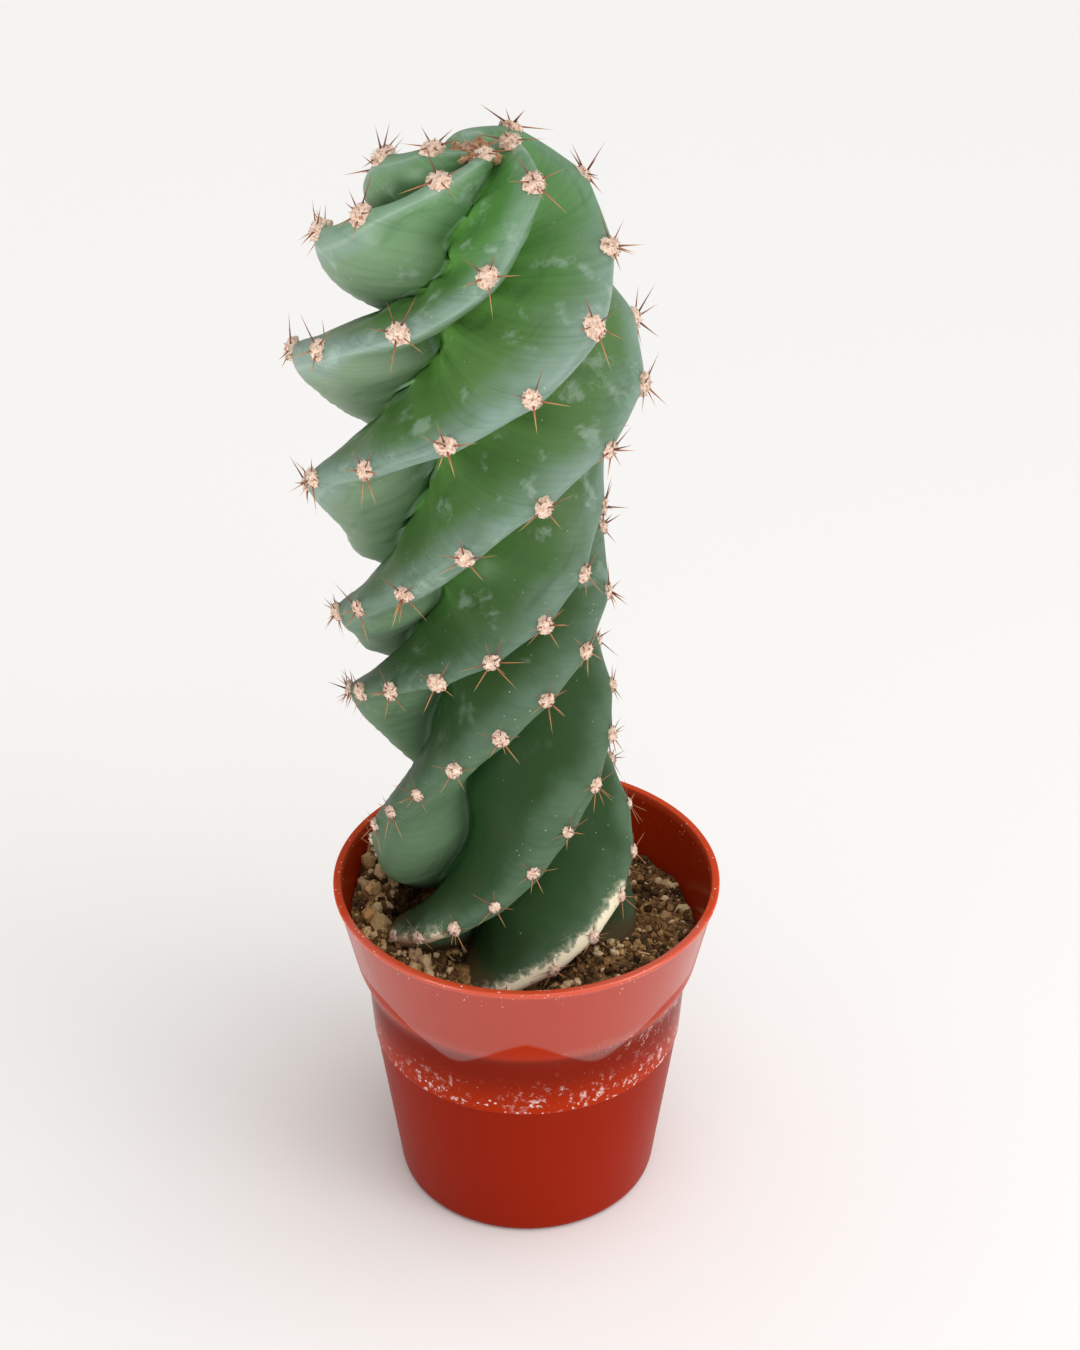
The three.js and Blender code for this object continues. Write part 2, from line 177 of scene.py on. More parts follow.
def new_piece(name, points_mm, faces, smooth=True):
    """A mesh object at the origin from points in millimetres."""
    mesh = bpy.data.meshes.new(name)
    mesh.from_pydata((np.asarray(points_mm, float) * MM).tolist(), [], faces)
    mesh.polygons.foreach_set("use_smooth", [smooth] * len(mesh.polygons))
    mesh.update()
    piece = bpy.data.objects.new(name, mesh)
    bpy.context.scene.collection.objects.link(piece)
    return piece


def closed_grid_faces(rows, columns):
    """Faces of rings listed from the foot up, between a first and a last single point."""
    faces = []
    last = rows * columns + 1
    for i in range(columns):
        j = (i + 1) % columns
        faces.append((0, 1 + j, 1 + i))
        top = last - columns
        faces.append((top + i, top + j, last))
    for row in range(rows - 1):
        low = 1 + row * columns
        high = low + columns
        for i in range(columns):
            j = (i + 1) % columns
            faces.append((low + i, low + j, high + j, high + i))
    return faces


def write_attribute(piece, name, values, kind="FLOAT"):
    """Stores one value for each point of a piece, for its material or node tree to read."""
    attribute = piece.data.attributes.new(name, kind, "POINT")
    key = "vector" if kind == "FLOAT_VECTOR" else "value"
    attribute.data.foreach_set(key, np.asarray(values, float).ravel())


def triangles(piece):
    """How many triangles a mesh piece has."""
    return sum(len(face.vertices) - 2 for face in piece.data.polygons)


# %% [markdown]
# The stem is one surface that a rule draws. Stations up the stem say how far the crests and
# the valleys reach from the axis, how high they are, where the axis is, and how far the
# spiral has turned. Between two ribs the radius falls from crest to valley and rises again.
# The same numbers shape the solid model, so this surface lies where that one does.

# %% Numbers of the stem
STATIONS = [
    # crest reach and height, valley reach and height, axis sideways and forward, turn
    (12, 66, 8, 66, -3, 0, -120),
    (30, 78, 18, 80, -3, 0, -120),
    (38, 92, 20, 98, -4, 0, -97),
    (39, 106, 19, 116, -6, 0, -54),
    (39, 124, 18, 134, -7, 0, -10),
    (38, 150, 17, 160, -10, 0, 42),
    (38, 178, 17, 188, -13, -1, 102),
    (38, 206, 17, 216, -16, -1, 178),
    (40, 234, 17, 243, -17, -2, 247),
    (43, 262, 17, 270, -18, -2, 308),
    (47, 286, 17, 292, -17, -2, 364),
    (47, 308, 16, 308, -16, -2, 422),
    (37, 328, 14, 321, -15, -2, 482),
    (27, 341, 11, 331, -13, -2, 520),
    (16, 348, 8, 339, -13, -2, 555),
    (7, 348.5, 4, 343.5, -12, -2, 585),
    (0, 345, 0, 345, -12, -2, 600),
]
# Angle of each rib's crest, every RIB_STEP millimetres from RIB_LOW up.
RIB_ANGLES = [
    [0, 0, 0, 0, 0],
    [90, 78, 81, 76, 67],
    [182, 173, 152, 163, 137],
    [277, 263, 256, 267, 239],
]
RIB_LOW, RIB_STEP, RIBS = 90, 64, 4
BENDS = [
    # rib, height, span of height, turned further by degrees, pushed out by millimetres
    (0, 100, 30, -12, 2),
    (0, 181, 11, 26, 5),
    (0, 258, 18, -11, 2),
    (0, 300, 25, 12, 4),
    (1, 190, 16, -8, 0),
    (1, 230, 24, 16, -3),
    (1, 303, 16, -10, 0),
    (2, 96, 30, 30, 1),
    (2, 200, 30, -10, 2),
    (2, 265, 9, 7, -4),
    (2, 318, 20, 28, -10),
    (3, 215, 11, 26, 5),
    (3, 262, 16, -5, 2),
    (3, 322, 16, -12, -1),
]
# A rib's section: its underside swells and its upper face falls back. The fold below a rib
# lies further round to the next one on one side of the plant than on the other.
SWELL, FALL = 0.6, 2.1
FOLD = {"middle": 0.5, "swing": 0.2, "most_at": 111, "softness": 0.06}
LAST_STATION = len(STATIONS) - 1

# %% The stem's rule


def smooth_through(values, place):
    """Values between the entries of a list, on a smooth curve through them."""
    values = np.asarray(values, float)
    last = len(values) - 1
    held = np.clip(place, 0, last)
    i = np.minimum(last - 1, np.floor(held).astype(int))
    before, here = values[np.maximum(0, i - 1)], values[i]
    after, beyond = values[i + 1], values[np.minimum(last, i + 2)]
    t = held - i
    bend = 2 * before - 5 * here + 4 * after - beyond
    twist = 3 * (here - after) + beyond - before
    return here + 0.5 * t * (after - before + t * (bend + t * twist))


def rib_at(rib, height):
    """Angle and outward push of a rib where its crest is at a height."""
    index = rib % RIBS
    angle = smooth_through(RIB_ANGLES[index], (height - RIB_LOW) / RIB_STEP) + 360 * (rib // RIBS)
    push = np.zeros_like(angle)
    for bent, centre, span, turn, out in BENDS:
        if bent == index:
            share = np.exp(-((height - centre) / span) ** 2)
            angle = angle + turn * share
            push = push + out * share
    return angle, push


def fold_at(crest_angle):
    """Share of the turn to the next rib where the fold lies, for a crest at an angle."""
    facing = np.cos(np.radians(crest_angle - FOLD["most_at"]))
    return FOLD["middle"] + FOLD["swing"] * facing / np.sqrt(facing ** 2 + FOLD["softness"])


# %% The stem's surface


def stem_surface(place, around):
    """Points of the stem in millimetres, and how near each is to a crest, from 0 to 1.

    Around counts ribs: 1 is on the crest of rib 1, and 1.5 in the fold between it and rib 2.
    """
    place, around = np.broadcast_arrays(np.asarray(place, float), np.asarray(around, float))
    column = [smooth_through([s[i] for s in STATIONS], place) for i in range(7)]
    reach, height, valley, floor, axis_x, axis_y, turn = column
    rib = np.floor(around).astype(int) % RIBS
    way = around - np.floor(around)
    ribs = np.array([rib_at(k, height) for k in range(RIBS + 1)])
    angle, push = np.choose(rib, ribs[:-1, 0]), np.choose(rib, ribs[:-1, 1])
    next_angle, next_push = np.choose(rib, ribs[1:, 0]), np.choose(rib, ribs[1:, 1])
    fold = fold_at(angle + turn)
    share = np.where(way < 0.5, 2 * way * fold, fold + (2 * way - 1) * (1 - fold))
    angle = angle + (next_angle - angle) * share
    push = push + (next_push - push) * share
    ridge = np.abs(np.cos(np.pi * way)) ** np.where(way < 0.5, SWELL, FALL)
    radius = np.maximum(0, valley + (reach + push - valley) * ridge)
    angle = np.radians(angle + turn)
    return np.stack([
        axis_x + radius * np.cos(angle),
        axis_y + radius * np.sin(angle),
        floor + (height - floor) * ridge,
    ], axis=-1), ridge


def stem_points(place, around):
    """Points of the stem's surface alone."""
    return stem_surface(place, around)[0]


print("stem top at", stem_points(LAST_STATION, 0.0).round(1), "mm")

# %% [markdown]
# The soil's height is a rule too: it falls to the right, is heaped at the back left, and
# has a hollow under a rib, where the loose crumbs are painted darker, as painted shade. The
# stem needs it, because the skin turns corky and brown where it meets the soil.

# %% The soil's rule
SOIL = {"level": 94.5, "fall": 0.07, "lumps": 0.6}
HEAPS = [(-46, 28, 18, 8), (27, -27, 14, 8)]  # sideways, forward, reach and rise
PIT = {"x": -34, "y": 2, "z": 97, "length": 13, "width": 8, "depth": 15, "turn": 70}


def soil_height(x, y):
    """Height of the soil's surface before the hollow is dug."""
    mound = 0
    for heap_x, heap_y, reach, rise in HEAPS:
        mound = mound + rise * np.exp(-((x - heap_x) ** 2 + (y - heap_y) ** 2) / reach ** 2)
    waves = np.sin(0.31 * x + 0.17 * y) + np.sin(0.23 * y - 0.37 * x + 1)
    return SOIL["level"] - SOIL["fall"] * x + mound + SOIL["lumps"] * waves


def pit_share(x, y):
    """1 at the middle of the hollow and 0 at its rim, seen from above."""
    turn = math.radians(PIT["turn"])
    along = (x - PIT["x"]) * math.cos(turn) + (y - PIT["y"]) * math.sin(turn)
    across = (y - PIT["y"]) * math.cos(turn) - (x - PIT["x"]) * math.sin(turn)
    return 1 - (along / PIT["length"]) ** 2 - (across / PIT["width"]) ** 2


print("soil at the pot's centre:", round(float(soil_height(0, 0)), 1), "mm")

# %% [markdown]
# Areoles are the felt pads that every spine of a cactus grows from. They follow the crests
# at an even spacing that grows where the plant grew faster. Walking along each crest and
# dropping a pad whenever the next is due gives the same pads as the solid model has.

# %% Where the felt pads lie
PADS = {
    "start_place": 1.5,
    "first": (23.5, 34, 27, 33.5),
    "spread": (0.96, 0.9, 1.05, 0.97),
    "spacing": (16, 26),
    "heights": (190, 250),
    "crown_height": 300,
    "crown_spacing": 0.75,
    "least_spacing": 5,
    "smallest_reach": 9,
    "soil_clear": 2.5,
}
CREST_EDGE = 0.02


def pad_spacing(rib, height, reach):
    """Distance in millimetres from one felt pad to the next."""
    low, high = PADS["heights"]
    near, far = PADS["spacing"]
    share = min(1, max(0, (height - low) / (high - low)))
    grown = (near + (far - near) * share) * PADS["spread"][rib]
    if height < PADS["crown_height"]:
        return grown
    return min(grown, max(PADS["least_spacing"], PADS["crown_spacing"] * reach))


def unit(vectors):
    """The same ways with a length of one."""
    return vectors / np.maximum(1e-9, np.linalg.norm(vectors, axis=-1, keepdims=True))


def travelled_along(curve):
    """Distance from a curve's first point to each of its points."""
    steps = np.linalg.norm(np.diff(curve, axis=0), axis=1)
    return np.concatenate([[0], np.cumsum(steps)])


# %% Find the felt pads


def find_pads():
    """Each pad's point, the way along its crest, the way outwards, and its place and rib."""
    found = []
    places = np.arange(PADS["start_place"], LAST_STATION, 0.01)
    reaches = smooth_through([s[0] for s in STATIONS], places)
    for rib in range(RIBS):
        crest = stem_points(places, float(rib))
        along = unit(np.gradient(crest, axis=0))
        left, right = rib - CREST_EDGE + RIBS, rib + CREST_EDGE
        across = unit(stem_points(places, right) - stem_points(places, left))
        outwards = unit(np.cross(across, along))
        travelled = travelled_along(crest)
        due = PADS["first"][rib]
        for i, place in enumerate(places):
            if travelled[i] < due:
                continue
            due = travelled[i] + pad_spacing(rib, crest[i, 2], reaches[i])
            if crest[i, 2] < soil_height(crest[i, 0], crest[i, 1]) + PADS["soil_clear"]:
                continue
            if reaches[i] < PADS["smallest_reach"] and place > LAST_STATION / 2:
                break
            found.append({"point": crest[i], "along": along[i], "outwards": outwards[i],
                          "place": place, "rib": rib})
    return found


pads = find_pads()
print(len(pads), "felt pads on", RIBS, "ribs")

# %% [markdown]
# The stem's mesh is a fine grid laid on the rule: rows follow the rise of the crests, and
# columns follow the ribs. Small forms are then added along each point's own normal: soft
# cross folds that run from valley to crest, a swelling under each pad, and low knuckles
# where two ribs press together. Real forms catch the light in every view, and bump alone
# would not. Each point also carries what the skin needs to know, such as how far it is from
# a crest and from the soil, and whether it lies on the healed edge at the foot.

# %% Stem mesh
GRID = {"columns_per_rib": 46, "row_step": 1.55}
FOLDS = {"height": 0.4, "length": 7.0, "slant": 9.0, "per_rib": 1.3}
UNEVEN = {"height": 0.35, "size": 14.0}
SWELLING = {"height": 0.9, "reach": 6.0}
KNUCKLES = {"height": 1.9, "way": 0.64, "width": 0.13, "spacing": 27.0, "rib_shift": 9.0,
            "lowest": 175, "grow_over": 60}
CALLUS = {
    # ribs round, first and last place up the stem, strength
    "edges": [(0.0, 1.9, 3.75, 1.0), (3.09, 1.9, 3.4, 0.85)],
    "width": 4.2,
}
# Height above the soil that the mesh's lowest and highest single points are given.
ENDS_ABOVE_SOIL = (-30, 250)


def wander(points, size, seed):
    """Soft random values from -1 to 1 that change over a size in millimetres."""
    offset = Vector((13.7 * seed, 7.1 * seed, 3.3 * seed))
    flat = points.reshape(-1, 3) / size
    return np.array([noise.noise(Vector(p) + offset) for p in flat]).reshape(points.shape[:-1])


def stem_rows():
    """Places up the stem that lie an even distance apart, and the way along a crest to each."""
    places = np.linspace(0, LAST_STATION, 3201)
    travelled = travelled_along(stem_points(places, 0.0))
    height = smooth_through([s[1] for s in STATIONS], places)
    reach = smooth_through([s[0] for s in STATIONS], places)
    climbed = np.concatenate([[0], np.cumsum(np.abs(np.diff(height)))])
    climbed = climbed + np.concatenate([[0], np.cumsum(np.abs(np.diff(reach)))])
    count = int(climbed[-1] / GRID["row_step"])
    even = np.linspace(0, climbed[-1], count + 2)[1:-1]
    return np.interp(even, climbed, places), np.interp(even, climbed, travelled)


def callus_of(points):
    """Up to 1 along the healed, corky edges where the lowest ribs meet the soil, else 0."""
    share = np.zeros(points.shape[:-1])
    for around, low, high, strength in CALLUS["edges"]:
        for spot in stem_points(np.linspace(low, high, 40), around + 2 * RIBS):
            near = np.linalg.norm(points - spot, axis=-1)
            share = np.maximum(share, strength * np.exp(-(near / CALLUS["width"]) ** 2))
    return share


# %% Small forms, and the whole stem


def small_forms(points, length, turn, way, ridge):
    """How far folds, unevenness, knuckles and swellings push each point of the stem out."""
    flank = np.clip(4 * ridge * (1 - ridge), 0, 1)
    slanted = length / FOLDS["length"] + FOLDS["slant"] * np.abs(way - 0.5)
    field = np.stack([slanted, turn * FOLDS["per_rib"], np.zeros_like(turn)], -1)
    folds = wander(field, 1.0, 1) + 0.5 * wander(field * 2.1, 1.0, 2)
    lift = FOLDS["height"] * flank * folds + UNEVEN["height"] * wander(points, UNEVEN["size"], 3)
    beat_at = (length + KNUCKLES["rib_shift"] * np.floor(turn)) / KNUCKLES["spacing"]
    beat = 0.5 + 0.5 * np.cos(2 * np.pi * beat_at)
    grown = np.clip((points[..., 2] - KNUCKLES["lowest"]) / KNUCKLES["grow_over"], 0, 1)
    across = np.exp(-((way - KNUCKLES["way"]) / KNUCKLES["width"]) ** 2)
    lift += KNUCKLES["height"] * grown * beat ** 2 * across
    for pad in pads:
        away = np.linalg.norm(points - pad["point"], axis=-1) / SWELLING["reach"]
        lift += SWELLING["height"] * np.exp(-away ** 2)
    return lift


def build_stem():
    """The stem's surface with its small forms, and what its material needs to know."""
    rows, travelled = stem_rows()
    count = RIBS * GRID["columns_per_rib"]
    around = -0.5 + RIBS * np.arange(count) / count
    place, turn = np.meshgrid(rows, around, indexing="ij")
    length = np.repeat(travelled[:, None], count, axis=1)
    way = turn - np.floor(turn)
    points, ridge = stem_surface(place, turn + RIBS)
    down = np.gradient(points, axis=0)
    sideways = np.roll(points, -1, axis=1) - np.roll(points, 1, axis=1)
    normal = unit(np.cross(sideways, down))
    points = points + normal * small_forms(points, length, turn, way, ridge)[..., None]

    lowest, highest = stem_points(0, 0.0)[None], stem_points(LAST_STATION, 0.0)[None]
    vertices = np.concatenate([lowest, points.reshape(-1, 3), highest])
    piece = new_piece("cactus_stem", vertices, closed_grid_faces(len(rows), count))
    above_soil = points[..., 2] - soil_height(points[..., 0], points[..., 1])
    carried = {
        # what each point carries, then the values of the lowest and the highest point
        "ridge": (ridge, 0, 0),
        "side": (np.where(way < 0.5, way, way - 1), 0, 0),
        "above_soil": (above_soil, *ENDS_ABOVE_SOIL),
        "along": (length, 0, travelled[-1]),
        "around": (turn, 0, 0),
        "callus": (callus_of(points), 0, 0),
    }
    for name, (values, low, high) in carried.items():
        write_attribute(piece, name, np.concatenate([[low], values.ravel(), [high]]))
    return piece


stem = build_stem()
print("stem:", triangles(stem), "triangles")

# %% [markdown]
# Living cactus skin is a green, waxy cuticle. Wax bloom makes it blue-grey where it is
# thickest, on the ribs' edges, and the young skin at the top is a fresh green with little
# wax. The skin ages to a dull dark green near the foot, and low on the stem the upper faces
# are also painted darker, as painted shade. The undersides are painted lighter than the
# upper faces, as painted light, and the green in the folds is partly painted light. A thin
# pale line along each rib's lower edge is a painted highlight. Where the lowest ribs rub on
# the soil it has healed to pale cork. A painted picture could not follow the ribs, so the
# mesh carries each point's place on its rib, and the colours are laid over each other by that.
# Wax scatters light, so highlights are broad, and a little light goes in.

# %% Skin colours
# Each pair is low on the stem, then high on it. The undersides are painted lighter than the upper faces, as
# painted light, and the folds' green is partly painted light. The upper faces' dark green low on the stem
# is partly ageing and partly painted shade.
SKIN_BY_AGE_AND_PAINTED_LIGHT = {
    # low on the stem, and high on it
    "face": ("#2d4425", "#4f7539"),
    "under": ("#5c7759", "#72896c"),
    "fold": ("#2b4c28", "#669c46"),
    "bloom": ("#566d56", "#81988f"),
}
SKIN = {
    # colour, and how strongly it is laid on
    "young": ("#4a9044", 0.36),
    # A painted highlight along each rib's lower edge.
    "edge": ("#a9c4a6", 1.0),
    "lines": ("#1f4526", 0.3),
    "waves": ("#1f4526", 0.22),
    "rubbed": ("#a3b7ab", 0.4),
    "flecks": ("#cfdccb", 0.55),
    "dirt": ("#5a4932", 0.85),
    "haze": ("#e6dcc0", 0.45),
    "cork": ("#e6dcc0", 1.0),
}
# Heights above the soil, in millimetres, over which the skin changes.
CHANGES = {"grown": (70, 215), "young": (205, 245), "clear_of_foot": (60, 160)}
# Places beside a crest, from -0.5 above it to 0.5 below: begins, is full, fades, is gone.
WAX_BAND = (-0.2, -0.03, 0.13, 0.24)
# Where the painted highlight line lies beside a crest, and how far from it it is gone and full.
PAINTED_HIGHLIGHT_LINE = {"at": 0.12, "gone": 0.025, "full": 0.003}


def skin_greens(tree, place, carried):
    """Colour of a rib's two faces, of the fold between two ribs and of the wax on them. The
    undersides are painted lighter than the upper faces, as painted light, the folds' green is
    partly painted light, and low on the stem the upper faces are partly painted shade. A thin
    painted highlight line runs along each rib's lower edge.

    The soft patches that break it up and the mask of the wax are returned with it.
    """
    grown, young = carried["grown"], carried["young"]
    patches = put(tree, "TexNoise", {"Vector": place, "Scale": 1 / (16 * MM), "Detail": 3.0})
    shift = put(tree, "Math", {0: patches, 1: 0.2, 2: -0.1}, operation="MULTIPLY_ADD")
    side = put(tree, "Math", {0: carried["side"], 1: shift}, operation="ADD")
    below = put(tree, "MapRange", {0: side, 1: -0.05, 2: 0.12}, **SMOOTH)
    depth = put(tree, "Math", {0: carried["ridge"], 1: shift}, operation="ADD")
    deep = put(tree, "MapRange", {0: depth, 1: 0.5, 2: 0.0}, **SMOOTH)
    open_side = put(tree, "Math", {0: below, 1: -0.6, 2: 1.0}, operation="MULTIPLY_ADD")
    # The under colour is painted light, the fold colour partly so, and the low face colour partly painted
    # shade.
    face, under, fold, bloom = [laid_over(tree, low, high, grown) for low, high in SKIN_BY_AGE_AND_PAINTED_LIGHT.values()]
    colour = laid_over(tree, face, under, below)
    colour = laid_over(tree, colour, fold, deep, open_side)
    colour = laid_over(tree, colour, *SKIN["young"], young)

    less_when_young = put(tree, "Math", {0: young, 1: -0.45, 2: 1.0}, operation="MULTIPLY_ADD")
    band = stripe(tree, side, *WAX_BAND)
    band = put(tree, "Math", {0: band, 1: less_when_young}, operation="MULTIPLY")
    cloud = put(tree, "TexNoise", {"Vector": place, "Scale": 1 / (7 * MM), "Detail": 3.0})
    broken = put(tree, "Math", {0: cloud, 1: 0.7, 2: 0.45}, operation="MULTIPLY_ADD", use_clamp=True)
    # A thin painted highlight line along each rib's lower edge, fainter low on the stem.
    off_line = put(tree, "Math", {0: carried["side"], 1: PAINTED_HIGHLIGHT_LINE["at"]}, operation="SUBTRACT")
    off_line = put(tree, "Math", {0: off_line}, operation="ABSOLUTE")
    edge = put(tree, "MapRange", {0: off_line, 1: PAINTED_HIGHLIGHT_LINE["gone"], 2: PAINTED_HIGHLIGHT_LINE["full"]}, **SMOOTH)
    faint = put(tree, "Math", {0: grown, 1: 0.18, 2: 0.04}, operation="MULTIPLY_ADD")
    colour = laid_over(tree, colour, bloom, band, broken)
    return laid_over(tree, colour, *SKIN["edge"], edge, faint), patches, band


# %% Skin wear and foot
STREAKS = {
    # changes per millimetre along a rib, changes per rib, levels, detail, roughness
    "lines": (0.02, 11.0, 0.55, 0.72, 4.0, 0.6),
    "waves": (0.5, 1.2, 0.42, 0.75, 3.0, 0.55),
}
FOOT_MASKS = {
    # what it follows, how ragged it is, where it begins and is full
    "dirt": ("above_soil", -7.0, 4.5, -2.5),
    "haze": ("callus", 1.5, 1.0, 1.6),
    "cork": ("callus", 1.4, 1.36, 1.5),
}


def wear_masks(tree, place, carried, band):
    """Masks of fine dark marks along and across a rib, of rubbed wax, and of pale flecks."""
    masks = {}
    way = put(tree, "CombineXYZ", {0: carried["along"], 1: carried["around"]})
    for name, (along, around, *cut) in STREAKS.items():
        field = put(tree, "VectorMath", {0: way, 1: (along, around, 0)}, operation="MULTIPLY")
        masks[name] = [blotches(tree, field, 1.0, *cut)]
    rubbed = blotches(tree, place, 12 * MM, 0.56, 0.68, 5.0, 0.62)
    masks["rubbed"] = [rubbed, carried["clear_of_foot"]]
    cells = put(tree, "TexVoronoi", {"Vector": place, "Scale": 1 / (2.2 * MM)}, feature="F1")
    flecks = put(tree, "Math", {0: cells, 1: 0.09}, operation="LESS_THAN")
    on_wax = blotches(tree, place, 6 * MM, 0.5, 0.62)
    on_wax = put(tree, "Math", {0: band, 1: on_wax}, operation="MULTIPLY")
    sparse = blotches(tree, place, 9 * MM, 0.56, 0.66)
    sparse = put(tree, "Math", {0: sparse, 1: on_wax}, operation="MAXIMUM")
    masks["flecks"] = [flecks, sparse]
    return masks


def foot_masks(tree, place, carried):
    """Masks of the soil splashed on the foot, and of the haze and the cork on healed edges."""
    masks = {}
    ragged = put(tree, "TexNoise",
                 {"Vector": place, "Scale": 1 / (2.5 * MM), "Detail": 5.0, "Roughness": 0.65})
    for name, (followed, part, low, high) in FOOT_MASKS.items():
        torn = put(tree, "Math", {0: ragged, 1: part, 2: carried[followed]}, operation="MULTIPLY_ADD")
        masks[name] = [put(tree, "MapRange", {0: torn, 1: low, 2: high}, **SMOOTH)]
    return masks


# %% Skin material


def waxy_cactus_skin():
    """Waxed living tissue: broad soft highlights, and a little light that goes in."""
    material, tree = new_material("waxy_cactus_skin")
    place = put(tree, "TexCoord").outputs["Object"]
    carried = {}
    for name in ("ridge", "side", "above_soil", "along", "around", "callus"):
        carried[name] = put(tree, "Attribute", attribute_name=name).outputs["Fac"]
    for name, (low, high) in CHANGES.items():
        carried[name] = put(tree, "MapRange", {0: carried["above_soil"], 1: low, 2: high}, **SMOOTH)
    colour, patches, band = skin_greens(tree, place, carried)
    masks = {**wear_masks(tree, place, carried, band), **foot_masks(tree, place, carried)}
    for name, parts in masks.items():
        colour = laid_over(tree, colour, *SKIN[name], *parts)

    dull = 0.38
    for value, part in ((masks["cork"][0], 0.35), (patches, 0.16)):
        dull = put(tree, "Math", {0: value, 1: part, 2: dull}, operation="MULTIPLY_ADD")
    pores = put(tree, "TexNoise", {"Vector": place, "Scale": 1 / (0.8 * MM), "Detail": 2.0})
    relief = put(tree, "Math", {0: pores, 1: 0.2}, operation="MULTIPLY")
    relief = put(tree, "Math", {0: masks["lines"][0], 1: -0.3, 2: relief}, operation="MULTIPLY_ADD")
    gloss = put(tree, "Math", {0: carried["grown"], 1: 0.36, 2: 0.08}, operation="MULTIPLY_ADD")
    shader = put(tree, "BsdfPrincipled", {
        "Base Color": colour,
        "Roughness": dull,
        "Normal": put(tree, "Bump", {"Height": relief, "Strength": 0.3, "Distance": 0.4 * MM}),
        "IOR": 1.42,
        "Specular IOR Level": gloss,
        "Subsurface Weight": 0.1,
        "Subsurface Radius": (0.5, 1.0, 0.3),
        "Subsurface Scale": 1.5 * MM,
    })
    put(tree, "OutputMaterial", {"Surface": shader})
    return material


stem.data.materials.append(waxy_cactus_skin())
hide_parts("cactus")
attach(stem, "root")
print("skin material:", stem.data.materials[0].name)

# %% [markdown]
# Pads and spines repeat by the hundred, which is work for Geometry Nodes. A cloud of bare
# points says where each one grows and which way it faces, and a node tree puts one copy of
# a small shape on each point. The copies are turned into real mesh at the end, because
# copies that are only referred to are lost when the model leaves Blender.

# %% Geometry Nodes helpers


def new_tree(name, numbers):
    """A node tree with a geometry input and output and named number inputs."""
    tree = bpy.data.node_groups.new(name, "GeometryNodeTree")
    tree.interface.new_socket("Geometry", in_out="OUTPUT", socket_type="NodeSocketGeometry")
    tree.interface.new_socket("Geometry", in_out="INPUT", socket_type="NodeSocketGeometry")
    for label, value in numbers.items():
        kind = "NodeSocketInt" if isinstance(value, int) else "NodeSocketFloat"
        socket = tree.interface.new_socket(label, in_out="INPUT", socket_type=kind)
        socket.default_value = value
    entry = tree.nodes.new("NodeGroupInput")
    exit_node = tree.nodes.new("NodeGroupOutput")
    return tree, entry, exit_node


def grow(piece, tree, values, material):
    """Runs a node tree on a piece and keeps the result as the piece's own plain mesh."""
    modifier = piece.modifiers.new(tree.name, "NODES")
    modifier.node_group = tree
    for item in tree.interface.items_tree:
        if item.in_out == "INPUT" and item.name in values:
            modifier[item.identifier] = values[item.name]
    evaluated = piece.evaluated_get(bpy.context.evaluated_depsgraph_get())
    mesh = bpy.data.meshes.new_from_object(evaluated)
    piece.modifiers.remove(modifier)
    piece.data = mesh
    mesh.name = piece.name
    if material.name not in mesh.materials:
        mesh.materials.clear()
        mesh.materials.append(material)
    return piece


def point_cloud(name, points_mm, **fields):
    """A piece of bare points with one vector or number for each point."""
    piece = new_piece(name, points_mm, [])
    for field, values in fields.items():
        kind = "FLOAT_VECTOR" if np.ndim(values) == 2 else "FLOAT"
        write_attribute(piece, field, values, kind)
    return piece


# %% [markdown]
# A felt pad is a low dome of short, curled wool, cream with a pink cast, and browner at the
# growing tip. It could be a plain lump with a rough texture, but its ragged outline shows
# against the green. So one tuft is modelled, with a lumpy heart and loose bent fibres, and
# every pad is a turned and scaled copy of it.

# %% One tuft of felt
TUFT_LUMPS = [(0.28, 2.3), (0.16, 6.0)]  # height, and how many across
TUFT = {"radius": 2.35, "depth": 0.85, "rise": 1.35,
        "fibres": 72, "fibre_length": 1.4, "fibre_width": 0.2}
# Share of the heart's radius at which the fibres start, so that they are rooted in it.
FIBRE_ROOT = 0.85


def lumpy(size, point, lumps, shift=Vector((0, 0, 0))):
    """Radius of a lumpy ball of about that size, at a point of the unit ball."""
    for height, count in lumps:
        size += height * noise.noise(point * count + shift)
    return size


